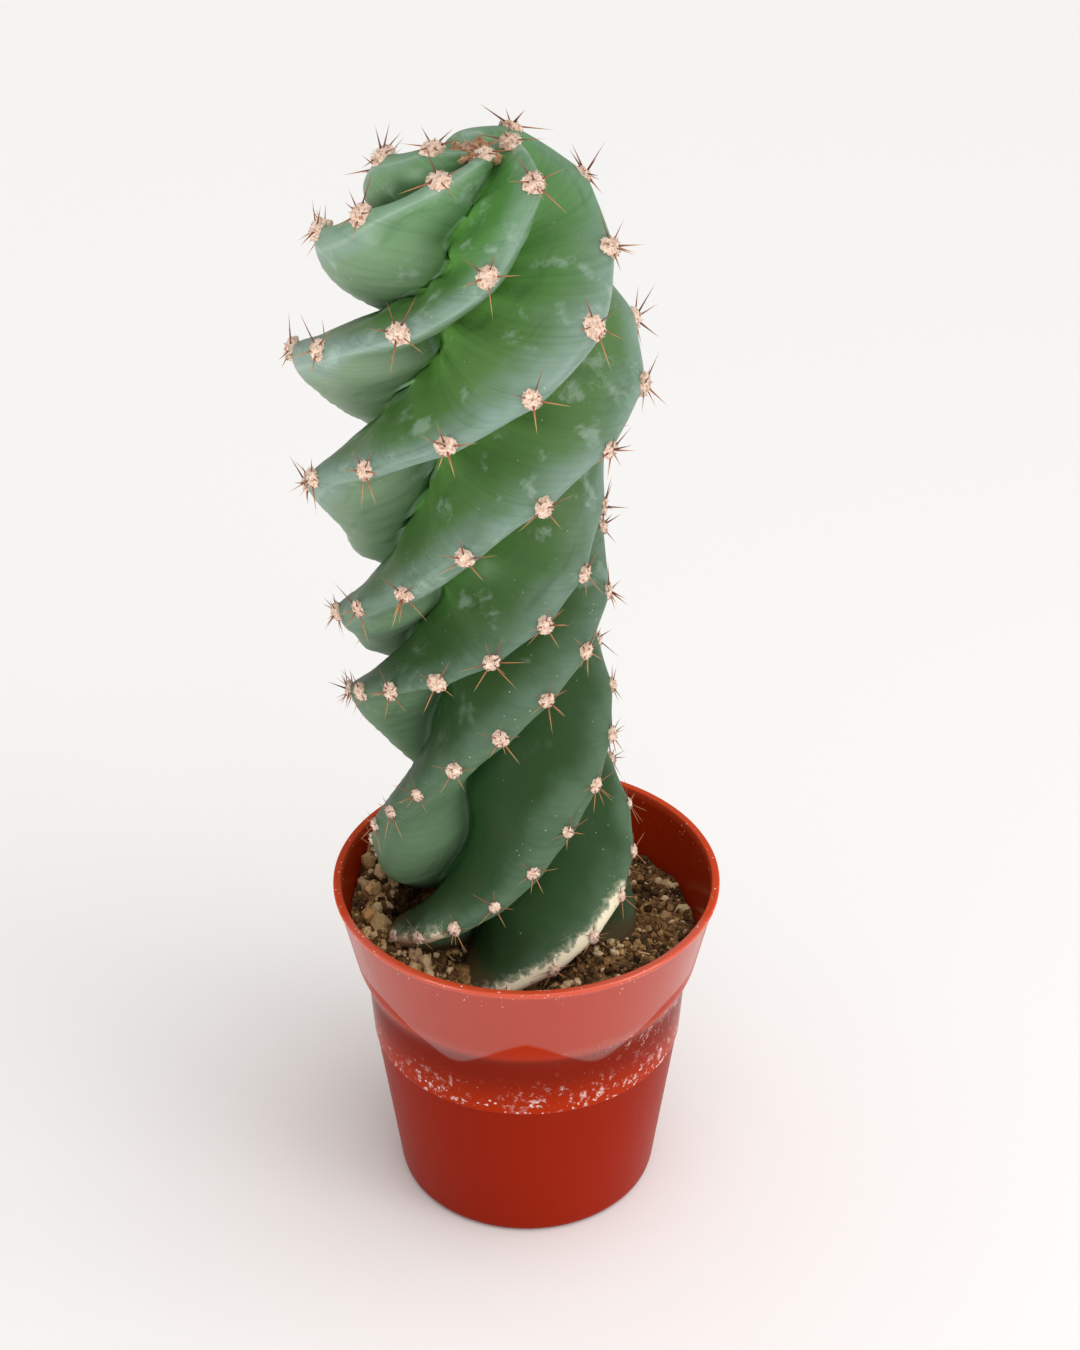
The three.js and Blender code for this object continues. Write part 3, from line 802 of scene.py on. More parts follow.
def build_tuft():
    """A dome with fibres, as a piece that the node tree copies. It is removed afterwards."""
    draw = random.Random(5)
    heart = bmesh.new()
    bmesh.ops.create_icosphere(heart, subdivisions=3, radius=1.0)
    points = []
    for vertex in heart.verts:
        p = vertex.co
        lump = lumpy(1.0, p, TUFT_LUMPS)
        width, depth = TUFT["radius"] * lump, TUFT["depth"] * TUFT["radius"] * lump
        points.append([width * p.x, depth * p.y, TUFT["rise"] * p.z * lump])
    faces = [[v.index for v in face.verts] for face in heart.faces]
    heart.free()
    for _ in range(TUFT["fibres"]):
        around = draw.uniform(0, 2 * math.pi)
        lean = math.acos(draw.uniform(0.05, 1.0))
        flat = math.sin(lean)
        root = Vector((flat * math.cos(around), flat * math.sin(around), math.cos(lean)))
        width, depth = TUFT["radius"], TUFT["radius"] * TUFT["depth"]
        start = Vector((root.x * width, root.y * depth, root.z * TUFT["rise"])) * FIBRE_ROOT
        side = root.cross(Vector((draw.gauss(0, 1), draw.gauss(0, 1), draw.gauss(0, 1)))).normalized()
        step = TUFT["fibre_length"] * draw.uniform(0.35, 0.75) / 2
        middle = start + root * step + side * step * 0.6
        tip = middle + root * step * 0.3 + side * step * 1.3
        width = TUFT["fibre_width"]
        first = len(points)
        lateral = root.cross(side).normalized()
        for centre, size in ((start, width), (middle, width * 0.8)):
            for k in range(3):
                turn = 2 * math.pi * k / 3
                points.append(list(centre + (lateral * math.cos(turn) + side * math.sin(turn)) * size))
        points.append(list(tip))
        for k in range(3):
            j = (k + 1) % 3
            faces.append([first + k, first + j, first + 3 + j, first + 3 + k])
            faces.append([first + 3 + k, first + 3 + j, first + 6])
        faces.append([first + 2, first + 1, first])
    return new_piece("felt_tuft", points, faces)


tuft = build_tuft()
print("one tuft:", triangles(tuft), "triangles")

# %% Felt material
FELT = {
    "pale": [(0.3, "#a8745c"), (0.7, "#f3e0d0"), (0.44, "#e6c4ad")],
    "brown": [(0.3, "#6e3f18"), (0.7, "#d2954f")],
}


def cactus_felt():
    """Short matted wool: no gloss, a soft sheen at the edges, and brown flecks at the roots."""
    material, tree = new_material("cactus_felt")
    place = put(tree, "TexCoord").outputs["Object"]
    wool = put(tree, "TexNoise", {"Vector": place, "Scale": 1 / (0.9 * MM), "Detail": 4.0})
    pale, brown = [put(tree, "ValToRGB", {"Fac": wool}, stops=stops) for stops in FELT.values()]
    tone = put(tree, "Attribute", attribute_name="tone").outputs["Fac"]
    shader = put(tree, "BsdfPrincipled", {
        "Base Color": laid_over(tree, pale, brown, tone),
        "Roughness": 0.95,
        "Normal": put(tree, "Bump", {"Height": wool, "Strength": 0.6, "Distance": 0.3 * MM}),
        "Subsurface Weight": 0.15,
        "Subsurface Radius": (1.0, 0.7, 0.5),
        "Subsurface Scale": 0.5 * MM,
        "Sheen Weight": 0.3,
    })
    put(tree, "OutputMaterial", {"Surface": shader})
    return material


# %% A node tree that copies a shape onto points


def copies_tree(name, source, material, numbers, picked_by=None):
    """A tree that puts a copy of a piece on each point, turned to its aim and scaled.

    Where the source holds several pieces, picked_by names the value that picks one of them.
    """
    tree, entry, exit_node = new_tree(name, numbers)
    aim = put(tree, "GeometryNodeInputNamedAttribute", {"Name": "aim"}, data_type="FLOAT_VECTOR")
    stretch = put(tree, "GeometryNodeInputNamedAttribute", {"Name": "stretch"}, data_type="FLOAT_VECTOR")
    facing = put(tree, "FunctionNodeAlignRotationToVector", {"Vector": aim}, axis="Z")
    spin = put(tree, "FunctionNodeRandomValue",
               {2: 0.0, 3: 2 * math.pi, "Seed": entry.outputs["Seed"]}, data_type="FLOAT")
    turned = put(tree, "FunctionNodeAxisAngleToRotation", {"Axis": (0, 0, 1), "Angle": spin})
    rotation = put(tree, "FunctionNodeRotateRotation",
                   {"Rotation": facing, "Rotate By": turned}, rotation_space="LOCAL")
    scale = put(tree, "VectorMath", {0: stretch, 3: entry.outputs["Size"]}, operation="SCALE")
    copies = put(tree, "GeometryNodeInstanceOnPoints", {
        "Points": entry.outputs["Geometry"], "Instance": source(tree, entry),
        "Rotation": rotation, "Scale": scale, "Pick Instance": picked_by is not None,
    })
    if picked_by:
        kind = put(tree, "GeometryNodeInputNamedAttribute", {"Name": picked_by}, data_type="FLOAT")
        tree.links.new(kind.outputs[0], copies.inputs["Instance Index"])
    real = put(tree, "GeometryNodeRealizeInstances", {"Geometry": copies})
    painted = put(tree, "GeometryNodeSetMaterial", {"Geometry": real, "Material": material})
    tree.links.new(painted.outputs[0], exit_node.inputs["Geometry"])
    return tree


# %% Sizes of the pads, and the growing tip
PAD_SIZES = {"smallest": 0.88, "more": 0.5, "lowest": 120, "grow_over": 170}
# How deep a pad sits in the swelling under it.
PAD_SINK = 0.2
# The growing tip: its middle, and the young tufts and spines that crowd round it.
CROWN = {"x": STATIONS[-1][4], "y": STATIONS[-1][5], "height": 345.0, "tufts": 24, "reach": 7.5,
         "tuft_lift": 1.5, "upright": 12, "spines": 46, "spine_reach": 5.5, "spine_lift": 1.0,
         "spine_leans": (12, 55), "spine_lengths": (2.2, 4.2), "spine_width": 0.4}
# New growth sets each tuft this far round from the one before.
GROWTH_TURN = math.radians(137.5)


def pad_size(height):
    """Pads are larger towards the top: about 4 mm across at the foot and 6.5 mm at the crown."""
    grown = min(1, max(0, (height - PAD_SIZES["lowest"]) / PAD_SIZES["grow_over"]))
    return PAD_SIZES["smallest"] + PAD_SIZES["more"] * grown


def crown_spots(count, reach, lift):
    """Share of the way out, turn and point of each of the things set round the growing tip."""
    for i in range(count):
        turn = i * GROWTH_TURN
        out = reach * math.sqrt(i / count)
        x, y = CROWN["x"] + out * math.cos(turn), CROWN["y"] + out * math.sin(turn)
        yield i / count, turn, [x, y, CROWN["height"] + lift]


# %% Put the pads on the crests


def tuft_source(tree, entry):
    """The tuft of felt, as the thing to copy."""
    return put(tree, "GeometryNodeObjectInfo", {"Object": tuft}).outputs["Geometry"]


def grow_pads():
    """One piece of all the felt pads, those along the crests and those of the growing tip."""
    draw = random.Random(21)
    points, aims, scales, tones = [], [], [], []
    for pad in pads:
        size = pad_size(pad["point"][2]) * draw.uniform(0.88, 1.1)
        points.append(pad["point"] + pad["outwards"] * (SWELLING["height"] - PAD_SINK))
        aims.append(pad["outwards"])
        scales.append([size, size, size * draw.uniform(0.85, 1.15)])
        tones.append(draw.uniform(0.0, 0.12))
    for share, turn, point in crown_spots(CROWN["tufts"], CROWN["reach"], CROWN["tuft_lift"]):
        lean = CROWN["reach"] * math.sqrt(share) / CROWN["upright"]
        points.append(point)
        aims.append([lean * math.cos(turn), lean * math.sin(turn), 1])
        size = draw.uniform(0.6, 0.95)
        scales.append([size, size, size * 1.5])
        tones.append(draw.uniform(0.55, 1.0))
    felt = cactus_felt()
    cloud = point_cloud("felt_pads", points, aim=np.array(aims), stretch=np.array(scales), tone=tones)
    tree = copies_tree("felt_pads_tree", tuft_source, felt, {"Size": 1.0, "Seed": 3})
    return grow(cloud, tree, {"Size": 1.0, "Seed": 3}, felt)


felt_pads = grow_pads()
bpy.data.objects.remove(tuft)
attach(felt_pads, "root")
print("felt pads:", triangles(felt_pads), "triangles")

# %% [markdown]
# A spine is a stiff, tapered needle of dead tissue, dark red-brown at its root, paler to its
# straw-coloured tip. Each pad has a ring of four to six that lean out widely and up to two
# that stand up. The needle is a thin cone made inside the tree, and it carries a value that
# runs from root to tip, so that its colour can follow its length.

# %% Spine material
HORN = {
    # root, tip, and the two shades between them
    "old": ("#4a2214", "#b98f5c", "#6b3721", "#935a34"),
    "fresh": ("#713822", "#e0cf95", "#a5643a", "#c99858"),
}


def spine_horn():
    """Horny plant tissue: hard and slightly glossy, like a fingernail, with a pale tip."""
    material, tree = new_material("spine_horn")
    length = put(tree, "Attribute", attribute_name="length").outputs["Fac"]
    tone = put(tree, "Attribute", attribute_name="tone").outputs["Fac"]
    old, fresh = [
        put(tree, "ValToRGB", {"Fac": length}, stops=list(zip((0.0, 1.0, 0.35, 0.75), shades)))
        for shades in HORN.values()
    ]
    shader = put(tree, "BsdfPrincipled",
                 {"Base Color": laid_over(tree, old, fresh, tone), "Roughness": 0.42, "IOR": 1.54})
    put(tree, "OutputMaterial", {"Surface": shader})
    return material


# %% One needle, and the ways that needles point
SPINE = {"width": 0.52, "low": 7.5, "high": 10.5, "sides": 6, "segments": 3, "shortest": 0.5,
         "lowest": 110, "grow_over": 190, "root_out": 0.9, "root_on": 0.6}


def needle_source(tree, entry):
    """One needle of unit size, with a value from 0 at its root to 1 at its tip."""
    cone = put(tree, "GeometryNodeMeshCone", {
        "Vertices": entry.outputs["Sides"], "Side Segments": SPINE["segments"],
        "Radius Top": 0.0, "Radius Bottom": entry.outputs["Root radius"], "Depth": entry.outputs["Length"],
    })
    height = put(tree, "SeparateXYZ", {0: put(tree, "GeometryNodeInputPosition")})
    share = put(tree, "Math", {0: height.outputs["Z"], 1: entry.outputs["Length"]}, operation="DIVIDE")
    stored = put(tree, "GeometryNodeStoreNamedAttribute",
                 {"Geometry": cone, "Name": "length", "Value": share},
                 data_type="FLOAT", domain="POINT")
    smooth = put(tree, "GeometryNodeSetShadeSmooth", {"Geometry": stored})
    return smooth.outputs[0]


def spine_directions(pad, draw):
    """Ways that one pad's spines point, and their shares of the length."""
    outwards = Vector(pad["outwards"])
    along = Vector(pad["along"])
    side = outwards.cross(along).normalized()
    ring = draw.choice((4, 5, 5, 6))
    start = draw.uniform(0, 2 * math.pi)
    leans = []
    for i in range(ring):
        around = start + 2 * math.pi * (i + draw.uniform(-0.25, 0.25)) / ring
        leans.append((around, draw.uniform(66, 88), 1.0))
    for _ in range(draw.choice((0, 1, 1, 2))):
        leans.append((draw.uniform(0, 2 * math.pi), draw.uniform(20, 50), 0.8))
    for around, lean, share in leans:
        tilt = math.radians(lean)
        flat = along * math.cos(around) + side * math.sin(around)
        yield outwards * math.cos(tilt) + flat * math.sin(tilt), share


# %% Spines


def room_for(root, way):
    """How far a spine can reach before it leaves the solid model's box, in millimetres."""
    low, high = np.array(CAD_BOX) / MM
    walls = np.where(np.array(way) > 0, high, low)
    steps = (walls - np.array(root)) / np.where(np.abs(way) < 1e-6, 1e-6, way)
    return max(SPINE["shortest"], float(np.abs(steps).min()) - SPINE["width"])


def grow_spines():
    """One piece of all the spines, those of the pads and those of the growing tip."""
    draw = random.Random(8)
    points, aims, scales, tones = [], [], [], []
    for pad in pads:
        grown = min(1, max(0, (pad["point"][2] - SPINE["lowest"]) / SPINE["grow_over"]))
        length = SPINE["low"] + (SPINE["high"] - SPINE["low"]) * grown
        size = pad_size(pad["point"][2])
        for way, share in spine_directions(pad, draw):
            root = Vector(pad["point"]) + Vector(pad["outwards"]) * SPINE["root_out"] * size
            points.append(list(root + way * SPINE["root_on"] * size))
            aims.append(list(way))
            thick = SPINE["width"] * size * draw.uniform(0.75, 1.1)
            reach = min(length * share * draw.uniform(0.6, 1.12), room_for(points[-1], aims[-1]))
            scales.append([thick, thick, reach])
            tones.append(min(1, max(0, 0.45 - 0.6 * way.z + draw.uniform(-0.3, 0.3))))
    least_lean, more_lean = CROWN["spine_leans"]
    for share, turn, point in crown_spots(CROWN["spines"], CROWN["spine_reach"], CROWN["spine_lift"]):
        lean = math.radians(least_lean + more_lean * share)
        flat, width = math.sin(lean), CROWN["spine_width"]
        points.append(point)
        aims.append([flat * math.cos(turn), flat * math.sin(turn), math.cos(lean)])
        scales.append([width, width, draw.uniform(*CROWN["spine_lengths"])])
        tones.append(draw.uniform(0.4, 1.0))
    horn = spine_horn()
    cloud = point_cloud("spines", points, aim=np.array(aims), stretch=np.array(scales), tone=tones)
    numbers = {"Size": 1.0, "Seed": 4, "Sides": SPINE["sides"], "Root radius": 0.5 * MM, "Length": MM}
    tree = copies_tree("spines_tree", needle_source, horn, numbers)
    return grow(cloud, tree, numbers, horn)


spines = grow_spines()
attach(spines, "root")
print("spines:", triangles(spines), "triangles")

# %% [markdown]
# The pot is one thin shell of polypropylene that came out of a steel mould. A single outline
# turned round the axis gives its floor, its tapered wall, the collar that steps in and the
# lip. Every corner of a moulded part is slightly round, so each corner of the outline is
# replaced by a short arc before it is turned.

# %% Numbers of the pot
POT = {
    "height": 111.7, "rim": 60.0, "lip_height": 2.4, "lip_step": 0.9,
    "collar_foot": (53.0, 81.0), "collar_step": 1.6, "soft_step": 2.2, "wall_top": 50.6,
    "line": (48.6, 56.0), "line_step": 0.35, "foot": 41.2, "foot_round": 3.2,
    "wall": 1.5, "floor": 2.4, "segments": 176,
}
DRAIN = {"count": 8, "radius": 4.0, "ring": 27.0}


def rounded(corners, radii, steps=4):
    """An outline whose corners are short arcs. A radius of 0 keeps a corner sharp."""
    outline = []
    for i, (corner, radius) in enumerate(zip(corners, radii)):
        here = Vector(corner)
        if radius == 0 or i in (0, len(corners) - 1):
            outline.append(tuple(here))
            continue
        back = Vector(corners[i - 1]) - here
        on = Vector(corners[i + 1]) - here
        reach = min(radius, 0.48 * back.length, 0.48 * on.length)
        start = here + back.normalized() * reach
        end = here + on.normalized() * reach
        for k in range(steps + 1):
            t = k / steps
            outline.append(tuple(start * (1 - t) ** 2 + here * 2 * t * (1 - t) + end * t ** 2))
    return outline


def pot_wall_radius(z):
    """Outer radius of the pot's wall at a height."""
    step_foot = POT["collar_foot"][1] - POT["collar_step"]
    heights = [0, POT["line"][1], step_foot, POT["collar_foot"][1], POT["height"]]
    top = POT["rim"] - POT["lip_step"]
    radii = [POT["foot"], POT["line"][0], POT["wall_top"], POT["collar_foot"][0], top]
    return np.interp(z, heights, radii)


# %% Pot outline


def wall_corner(z, inwards=0.0):
    """A corner of the outline on the wall's outer face, or further in."""
    return float(pot_wall_radius(z)) - inwards, z


def pot_outline():
    """The pot's outline from the middle of its underside, over the rim, to that of its floor."""
    top, rim, lip, thick = POT["height"], POT["rim"], POT["lip_height"], POT["wall"]
    line, collar = POT["line"], POT["collar_foot"][1]
    step_foot = collar - POT["collar_step"]
    rounded_corners = [
        # corner, radius of its arc
        ((0.0, 0.0), 0),
        ((POT["foot"], 0.0), POT["foot_round"]),
        (line, 0.15),
        ((line[0] + POT["line_step"], line[1] + POT["line_step"]), 0.15),
        (wall_corner(step_foot - POT["soft_step"]), 3.0),
        (wall_corner(collar + POT["soft_step"]), 3.0),
        ((rim - POT["lip_step"], top - lip), 0.4),
        ((rim, top - lip + POT["lip_step"]), 0.5),
        ((rim, top), 0.8),
        (wall_corner(top, thick), 0.5),
        (wall_corner(collar, thick), 1.0),
        (wall_corner(step_foot, thick), 1.0),
        (wall_corner(POT["floor"], thick), 2.0),
        ((0.0, POT["floor"]), 0),
    ]
    return rounded(*zip(*rounded_corners))


# %% Turn the outline and drill the floor


def spun(name, outline, segments):
    """A closed shell from an outline of radius and height that starts and ends on the axis."""
    turns = 2 * np.pi * np.arange(segments) / segments
    rings = []
    for radius, z in outline[1:-1]:
        rings.append(np.stack([radius * np.cos(turns), radius * np.sin(turns), np.full(segments, z)], -1))
    points = np.concatenate([[[0, 0, outline[0][1]]], *rings, [[0, 0, outline[-1][1]]]])
    return new_piece(name, points, closed_grid_faces(len(rings), segments))


def cut_drain_holes(piece):
    """Drills the ring of drain holes through the floor."""
    drill = bmesh.new()
    for i in range(DRAIN["count"]):
        turn = 2 * math.pi * i / DRAIN["count"]
        centre = Vector((DRAIN["ring"] * math.cos(turn), DRAIN["ring"] * math.sin(turn), 0)) * MM
        bmesh.ops.create_cone(drill, cap_ends=True, segments=40, radius1=DRAIN["radius"] * MM,
                              radius2=DRAIN["radius"] * MM, depth=4 * POT["floor"] * MM,
                              matrix=Matrix.Translation(centre))
    mesh = bpy.data.meshes.new("drill")
    drill.to_mesh(mesh)
    drill.free()
    tool = bpy.data.objects.new("drill", mesh)
    bpy.context.scene.collection.objects.link(tool)
    cut = piece.modifiers.new("drain_holes", "BOOLEAN")
    cut.object, cut.operation, cut.solver = tool, "DIFFERENCE", "EXACT"
    evaluated = piece.evaluated_get(bpy.context.evaluated_depsgraph_get())
    result = bpy.data.meshes.new_from_object(evaluated)
    piece.modifiers.remove(cut)
    piece.data = result
    bpy.data.objects.remove(tool)


pot = spun("pot_shell", pot_outline(), POT["segments"])
cut_drain_holes(pot)
print("pot:", triangles(pot), "triangles")

# %% [markdown]
# Moulded polypropylene takes the mould's finish. The collar and the band under it came from
# polished steel and shine, with faint flow marks, and the lower wall is duller and deeper
# red. On the real collar lies the sharp reflection of a window, with two round lobes. This
# scene has no window, so the gloss is stronger in that shape, and the light does the rest.
# Hard water has left white specks along the step line and round the rim, and the inside is
# painted darker, as painted shade.

# %% The window's shape and the lime
# Heights and widths are in millimetres, and turns from the front in degrees.
WINDOW = {"sill": 90.0, "lobe_turn": 26, "lobe_width": 17, "lobe_drop": 15.0,
          "half_turn": 62, "soft_turn": 8, "soft_sill": 0.8}
LIME = {
    # where the lime begins, is full, fades and is gone: heights, and for the right, sideways
    "line": (55.5, 57.0, 57.0, 72.0),
    "under_collar": (66.0, 78.0, 80.0, 86.0),
    "rim": (100.0, 111.0),
    "right": (0.0, 50.0),
}


def window_shape(tree, sideways, forward, up):
    """A mask of the window that the collar reflects: all above a sill that dips in two lobes."""
    front = put(tree, "Math", {0: forward, 1: -1.0}, operation="MULTIPLY")
    turn = put(tree, "Math", {0: sideways, 1: front}, operation="ARCTAN2")
    turn = put(tree, "Math", {0: turn}, operation="ABSOLUTE")
    off = put(tree, "Math", {0: turn, 1: math.radians(WINDOW["lobe_turn"])}, operation="SUBTRACT")
    off = put(tree, "Math", {0: off, 1: math.radians(WINDOW["lobe_width"])}, operation="DIVIDE")
    square = put(tree, "Math", {0: off, 1: off}, operation="MULTIPLY")
    square = put(tree, "Math", {0: square, 1: -1.0}, operation="MULTIPLY")
    lobe = put(tree, "Math", {0: square}, operation="EXPONENT")
    sill = put(tree, "Math", {0: lobe, 1: -WINDOW["lobe_drop"] * MM, 2: WINDOW["sill"] * MM},
               operation="MULTIPLY_ADD")
    over = put(tree, "Math", {0: up, 1: sill}, operation="SUBTRACT")
    soft, half = WINDOW["soft_sill"] * MM, WINDOW["half_turn"]
    over = put(tree, "MapRange", {0: over, 1: -soft, 2: soft}, **SMOOTH)
    ends = {0: turn, 1: math.radians(half + WINDOW["soft_turn"]), 2: math.radians(half)}
    return put(tree, "Math", {0: over, 1: put(tree, "MapRange", ends, **SMOOTH)}, operation="MULTIPLY")


def lime_marks(tree, place, sideways, up):
    """A mask of dried water marks: round specks, and smears along the step line."""
    line, collar, rim, right = [[z * MM for z in heights] for heights in LIME.values()]
    near_line = stripe(tree, up, *line)
    under_collar = stripe(tree, up, *collar)
    to_the_right = put(tree, "MapRange", {0: sideways, 1: right[0], 2: right[1]}, **SMOOTH)
    under_collar = put(tree, "Math", {0: under_collar, 1: to_the_right}, operation="MULTIPLY")
    near_line = put(tree, "Math", {0: near_line, 1: under_collar}, operation="MAXIMUM")
    amount = put(tree, "MapRange", {0: up, 1: rim[0], 2: rim[1], 3: 0.03, 4: 0.27}, **SMOOTH)
    amount = put(tree, "Math", {0: near_line, 1: 0.46, 2: amount}, operation="MULTIPLY_ADD")
    cells = put(tree, "TexVoronoi", {"Vector": place, "Scale": 1 / (1.5 * MM), "Randomness": 1.0})
    size = blotches(tree, place, 5 * MM, 0.35, 0.75, 4.0, 0.65)
    size = put(tree, "Math", {0: size, 1: amount}, operation="MULTIPLY")
    specks = put(tree, "Math", {0: cells, 1: size}, operation="LESS_THAN")
    smears = blotches(tree, place, 2.5 * MM, 0.54, 0.66, 5.0, 0.7)
    for mask in (near_line, blotches(tree, place, 22 * MM, 0.36, 0.54, 2.0)):
        smears = put(tree, "Math", {0: smears, 1: mask}, operation="MULTIPLY")
    return put(tree, "Math", {0: specks, 1: smears}, operation="MAXIMUM")


# %% Pot material
# The inside colour is painted shade.
# The lip colour is a painted highlight.
PLASTIC = {"red": "#a62b09", "deep": "#901e05", "inside": "#7a1d0c", "lip": "#d04a28", "lime": "#ead6cf"}
# How much nearer to the axis than the rim the middle of the wall is at the top.
MID_WALL = 3.0


def moulded_polypropylene():
    """A hard, smooth, thin plastic: strong clear colour under a gloss that dulls with wear."""
    material, tree = new_material("moulded_polypropylene")
    place = put(tree, "TexCoord").outputs["Object"]
    sideways, forward, up = put(tree, "SeparateXYZ", {0: place}).outputs
    flat = put(tree, "VectorMath", {0: place, 1: (1, 1, 0)}, operation="MULTIPLY")
    reach = put(tree, "VectorMath", {0: flat}, operation="LENGTH")
    top, line = POT["height"], POT["line"][1]
    wall = put(tree, "MapRange", {
        0: up, 1: 0.0, 2: top * MM, 3: POT["foot"] * MM, 4: (POT["rim"] - MID_WALL) * MM})
    inwards = put(tree, "Math", {0: wall, 1: reach}, operation="SUBTRACT")
    # How far inside the wall a point is, for the inside's painted shade.
    painted_inner_shade = put(tree, "MapRange", {0: inwards, 1: 0.2 * MM, 2: 1.4 * MM}, **SMOOTH)
    low = put(tree, "MapRange", {0: up, 1: (line + 0.4) * MM, 2: (line - 0.2) * MM}, **SMOOTH)
    # The top of the rim, which is painted lighter as a painted highlight.
    lip = put(tree, "MapRange", {0: up, 1: (top - 3.2) * MM, 2: (top - 0.6) * MM}, **SMOOTH)
    below_lip = put(tree, "Math", {0: 1.0, 1: lip}, operation="SUBTRACT")
    lime = lime_marks(tree, place, sideways, up)
    colour = laid_over(tree, PLASTIC["red"], PLASTIC["deep"], low)
    # The lip is painted lighter, as a painted highlight.
    colour = laid_over(tree, colour, PLASTIC["lip"], lip, 0.85)
    # The inside is painted darker, as painted shade.
    colour = laid_over(tree, colour, PLASTIC["inside"], painted_inner_shade, below_lip)
    colour = laid_over(tree, colour, PLASTIC["lime"], lime, 0.75)

    flow = put(tree, "Mapping", {"Vector": place, "Scale": (1.0, 1.0, 0.25)})
    marks = put(tree, "TexNoise", {"Vector": flow, "Scale": 1 / (4 * MM), "Detail": 2.0})
    dull = 0.17
    for value, part in ((low, 0.14), (marks, 0.1), (lime, 0.4)):
        dull = put(tree, "Math", {0: value, 1: part, 2: dull}, operation="MULTIPLY_ADD")
    height = put(tree, "Math", {0: lime, 1: 0.6, 2: marks}, operation="MULTIPLY_ADD")
    polished = window_shape(tree, sideways, forward, up)
    gloss = put(tree, "Math", {0: polished, 1: 0.68, 2: 0.03}, operation="MULTIPLY_ADD")
    shader = put(tree, "BsdfPrincipled", {
        "Base Color": colour,
        "Roughness": dull,
        "Normal": put(tree, "Bump", {"Height": height, "Strength": 0.12, "Distance": 0.4 * MM}),
        "IOR": 1.49,
        "Specular IOR Level": gloss,
    })
    put(tree, "OutputMaterial", {"Surface": shader})
    return material


pot.data.materials.clear()
pot.data.materials.append(moulded_polypropylene())
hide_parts("pot")
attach(pot, "root")

# %% [markdown]
# The soil is a peat mix: dark crumbs of every size, sand, and paler bits. Its body is one
# closed piece that fills the pot, with a lumpy top. The crumbs you can pick out one by one
# are separate small stones, scattered over the top by Geometry Nodes.

# %% Soil body
BED = {"rings": 74, "segments": 210, "gap": 0.35, "foot_round": 2.0}
# Height and size in millimetres of each layer of lumps.
LUMPS = [(1.0, 5.0), (0.75, 2.2), (0.35, 1.1)]


def soil_top(x, y):
    """Height of the soil's surface with its hollow and its crumbs."""
    surface = soil_height(x, y)
    share = pit_share(x, y)
    dug = PIT["z"] - PIT["depth"] * np.sqrt(np.clip(share, 0, 1))
    surface = np.where(share > 0, np.minimum(surface, dug), surface)
    points = np.stack([x, y, surface * 0.6], -1)
    for seed, (rise, size) in enumerate(LUMPS, 4):
        surface = surface + rise * wander(points, size, seed)
    return surface


def build_soil():
    """The soil as one closed piece: its foot and wall follow the pot, and its top is lumpy."""
    turns = 2 * np.pi * np.arange(BED["segments"]) / BED["segments"]
    edge = np.full(BED["segments"], float(pot_wall_radius(SOIL["level"])) - POT["wall"] - BED["gap"])
    for _ in range(4):
        edge_height = soil_height(edge * np.cos(turns), edge * np.sin(turns))
        edge = pot_wall_radius(edge_height) - POT["wall"] - BED["gap"]
    rings = []
    floor, collar = POT["floor"] + BED["gap"], POT["collar_foot"][1]
    for z in (floor, floor + BED["foot_round"], POT["line"][1], collar - POT["collar_step"], collar):
        radius = float(pot_wall_radius(z)) - POT["wall"] - BED["gap"]
        if z == floor:
            radius -= BED["foot_round"]
        rings.append(np.stack([radius * np.cos(turns), radius * np.sin(turns), np.full_like(turns, z)], -1))
    for ring in range(BED["rings"], 0, -1):
        x = edge * np.cos(turns) * ring / BED["rings"]
        y = edge * np.sin(turns) * ring / BED["rings"]
        rings.append(np.stack([x, y, soil_top(x, y)], -1))
    centre = soil_top(np.zeros(1), np.zeros(1))[0]
    points = np.concatenate([[[0, 0, floor]], *rings, [[0, 0, centre]]])
    return new_piece("soil_bed", points, closed_grid_faces(len(rings), BED["segments"]))


soil = build_soil()
print("soil bed:", triangles(soil), "triangles")

# %% Soil material
EARTH = [(0.32, "#20140b"), (0.95, "#e0c499"), (0.48, "#6d4f2d"), (0.62, "#987046"), (0.78, "#b8925c")]


def peat_soil(name, by_tone):
    """Moist peat: almost black between the crumbs, brown on them, tan where sand lies."""
    material, tree = new_material(name)
    place = put(tree, "TexCoord").outputs["Object"]
    fine = put(tree, "TexNoise",
               {"Vector": place, "Scale": 1 / (1.2 * MM), "Detail": 6.0, "Roughness": 0.7})
    if by_tone:
        tone = put(tree, "Attribute", attribute_name="tone").outputs["Fac"]
        source = put(tree, "Math", {0: fine, 1: 0.25, 2: tone}, operation="MULTIPLY_ADD")
    else:
        patches = put(tree, "TexNoise", {"Vector": place, "Scale": 1 / (7 * MM), "Detail": 2.0})
        shift = put(tree, "Math", {0: patches, 1: 0.8, 2: -0.42}, operation="MULTIPLY_ADD")
        source = put(tree, "Math", {0: fine, 1: shift}, operation="ADD")
    shader = put(tree, "BsdfPrincipled", {
        "Base Color": put(tree, "ValToRGB", {"Fac": source}, stops=EARTH),
        "Roughness": 0.92,
        "Normal": put(tree, "Bump", {"Height": fine, "Strength": 0.9, "Distance": 0.6 * MM}),
        "Specular IOR Level": 0.25,
    })
    put(tree, "OutputMaterial", {"Surface": shader})
    return material


soil.data.materials.append(peat_soil("peat_soil", False))
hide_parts("soil")
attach(soil, "root")

# %% [markdown]
# Crumbs, sand, straw and bark lie loose on the soil. A cloud of bare points says where each
# one lies, and the same node tree as for the pads puts one of a few lumpy shapes on each,
# small ones often and large ones seldom. Straw is the same shape drawn out long and laid
# flat. Each bit keeps a random tone, which its material turns to a colour.

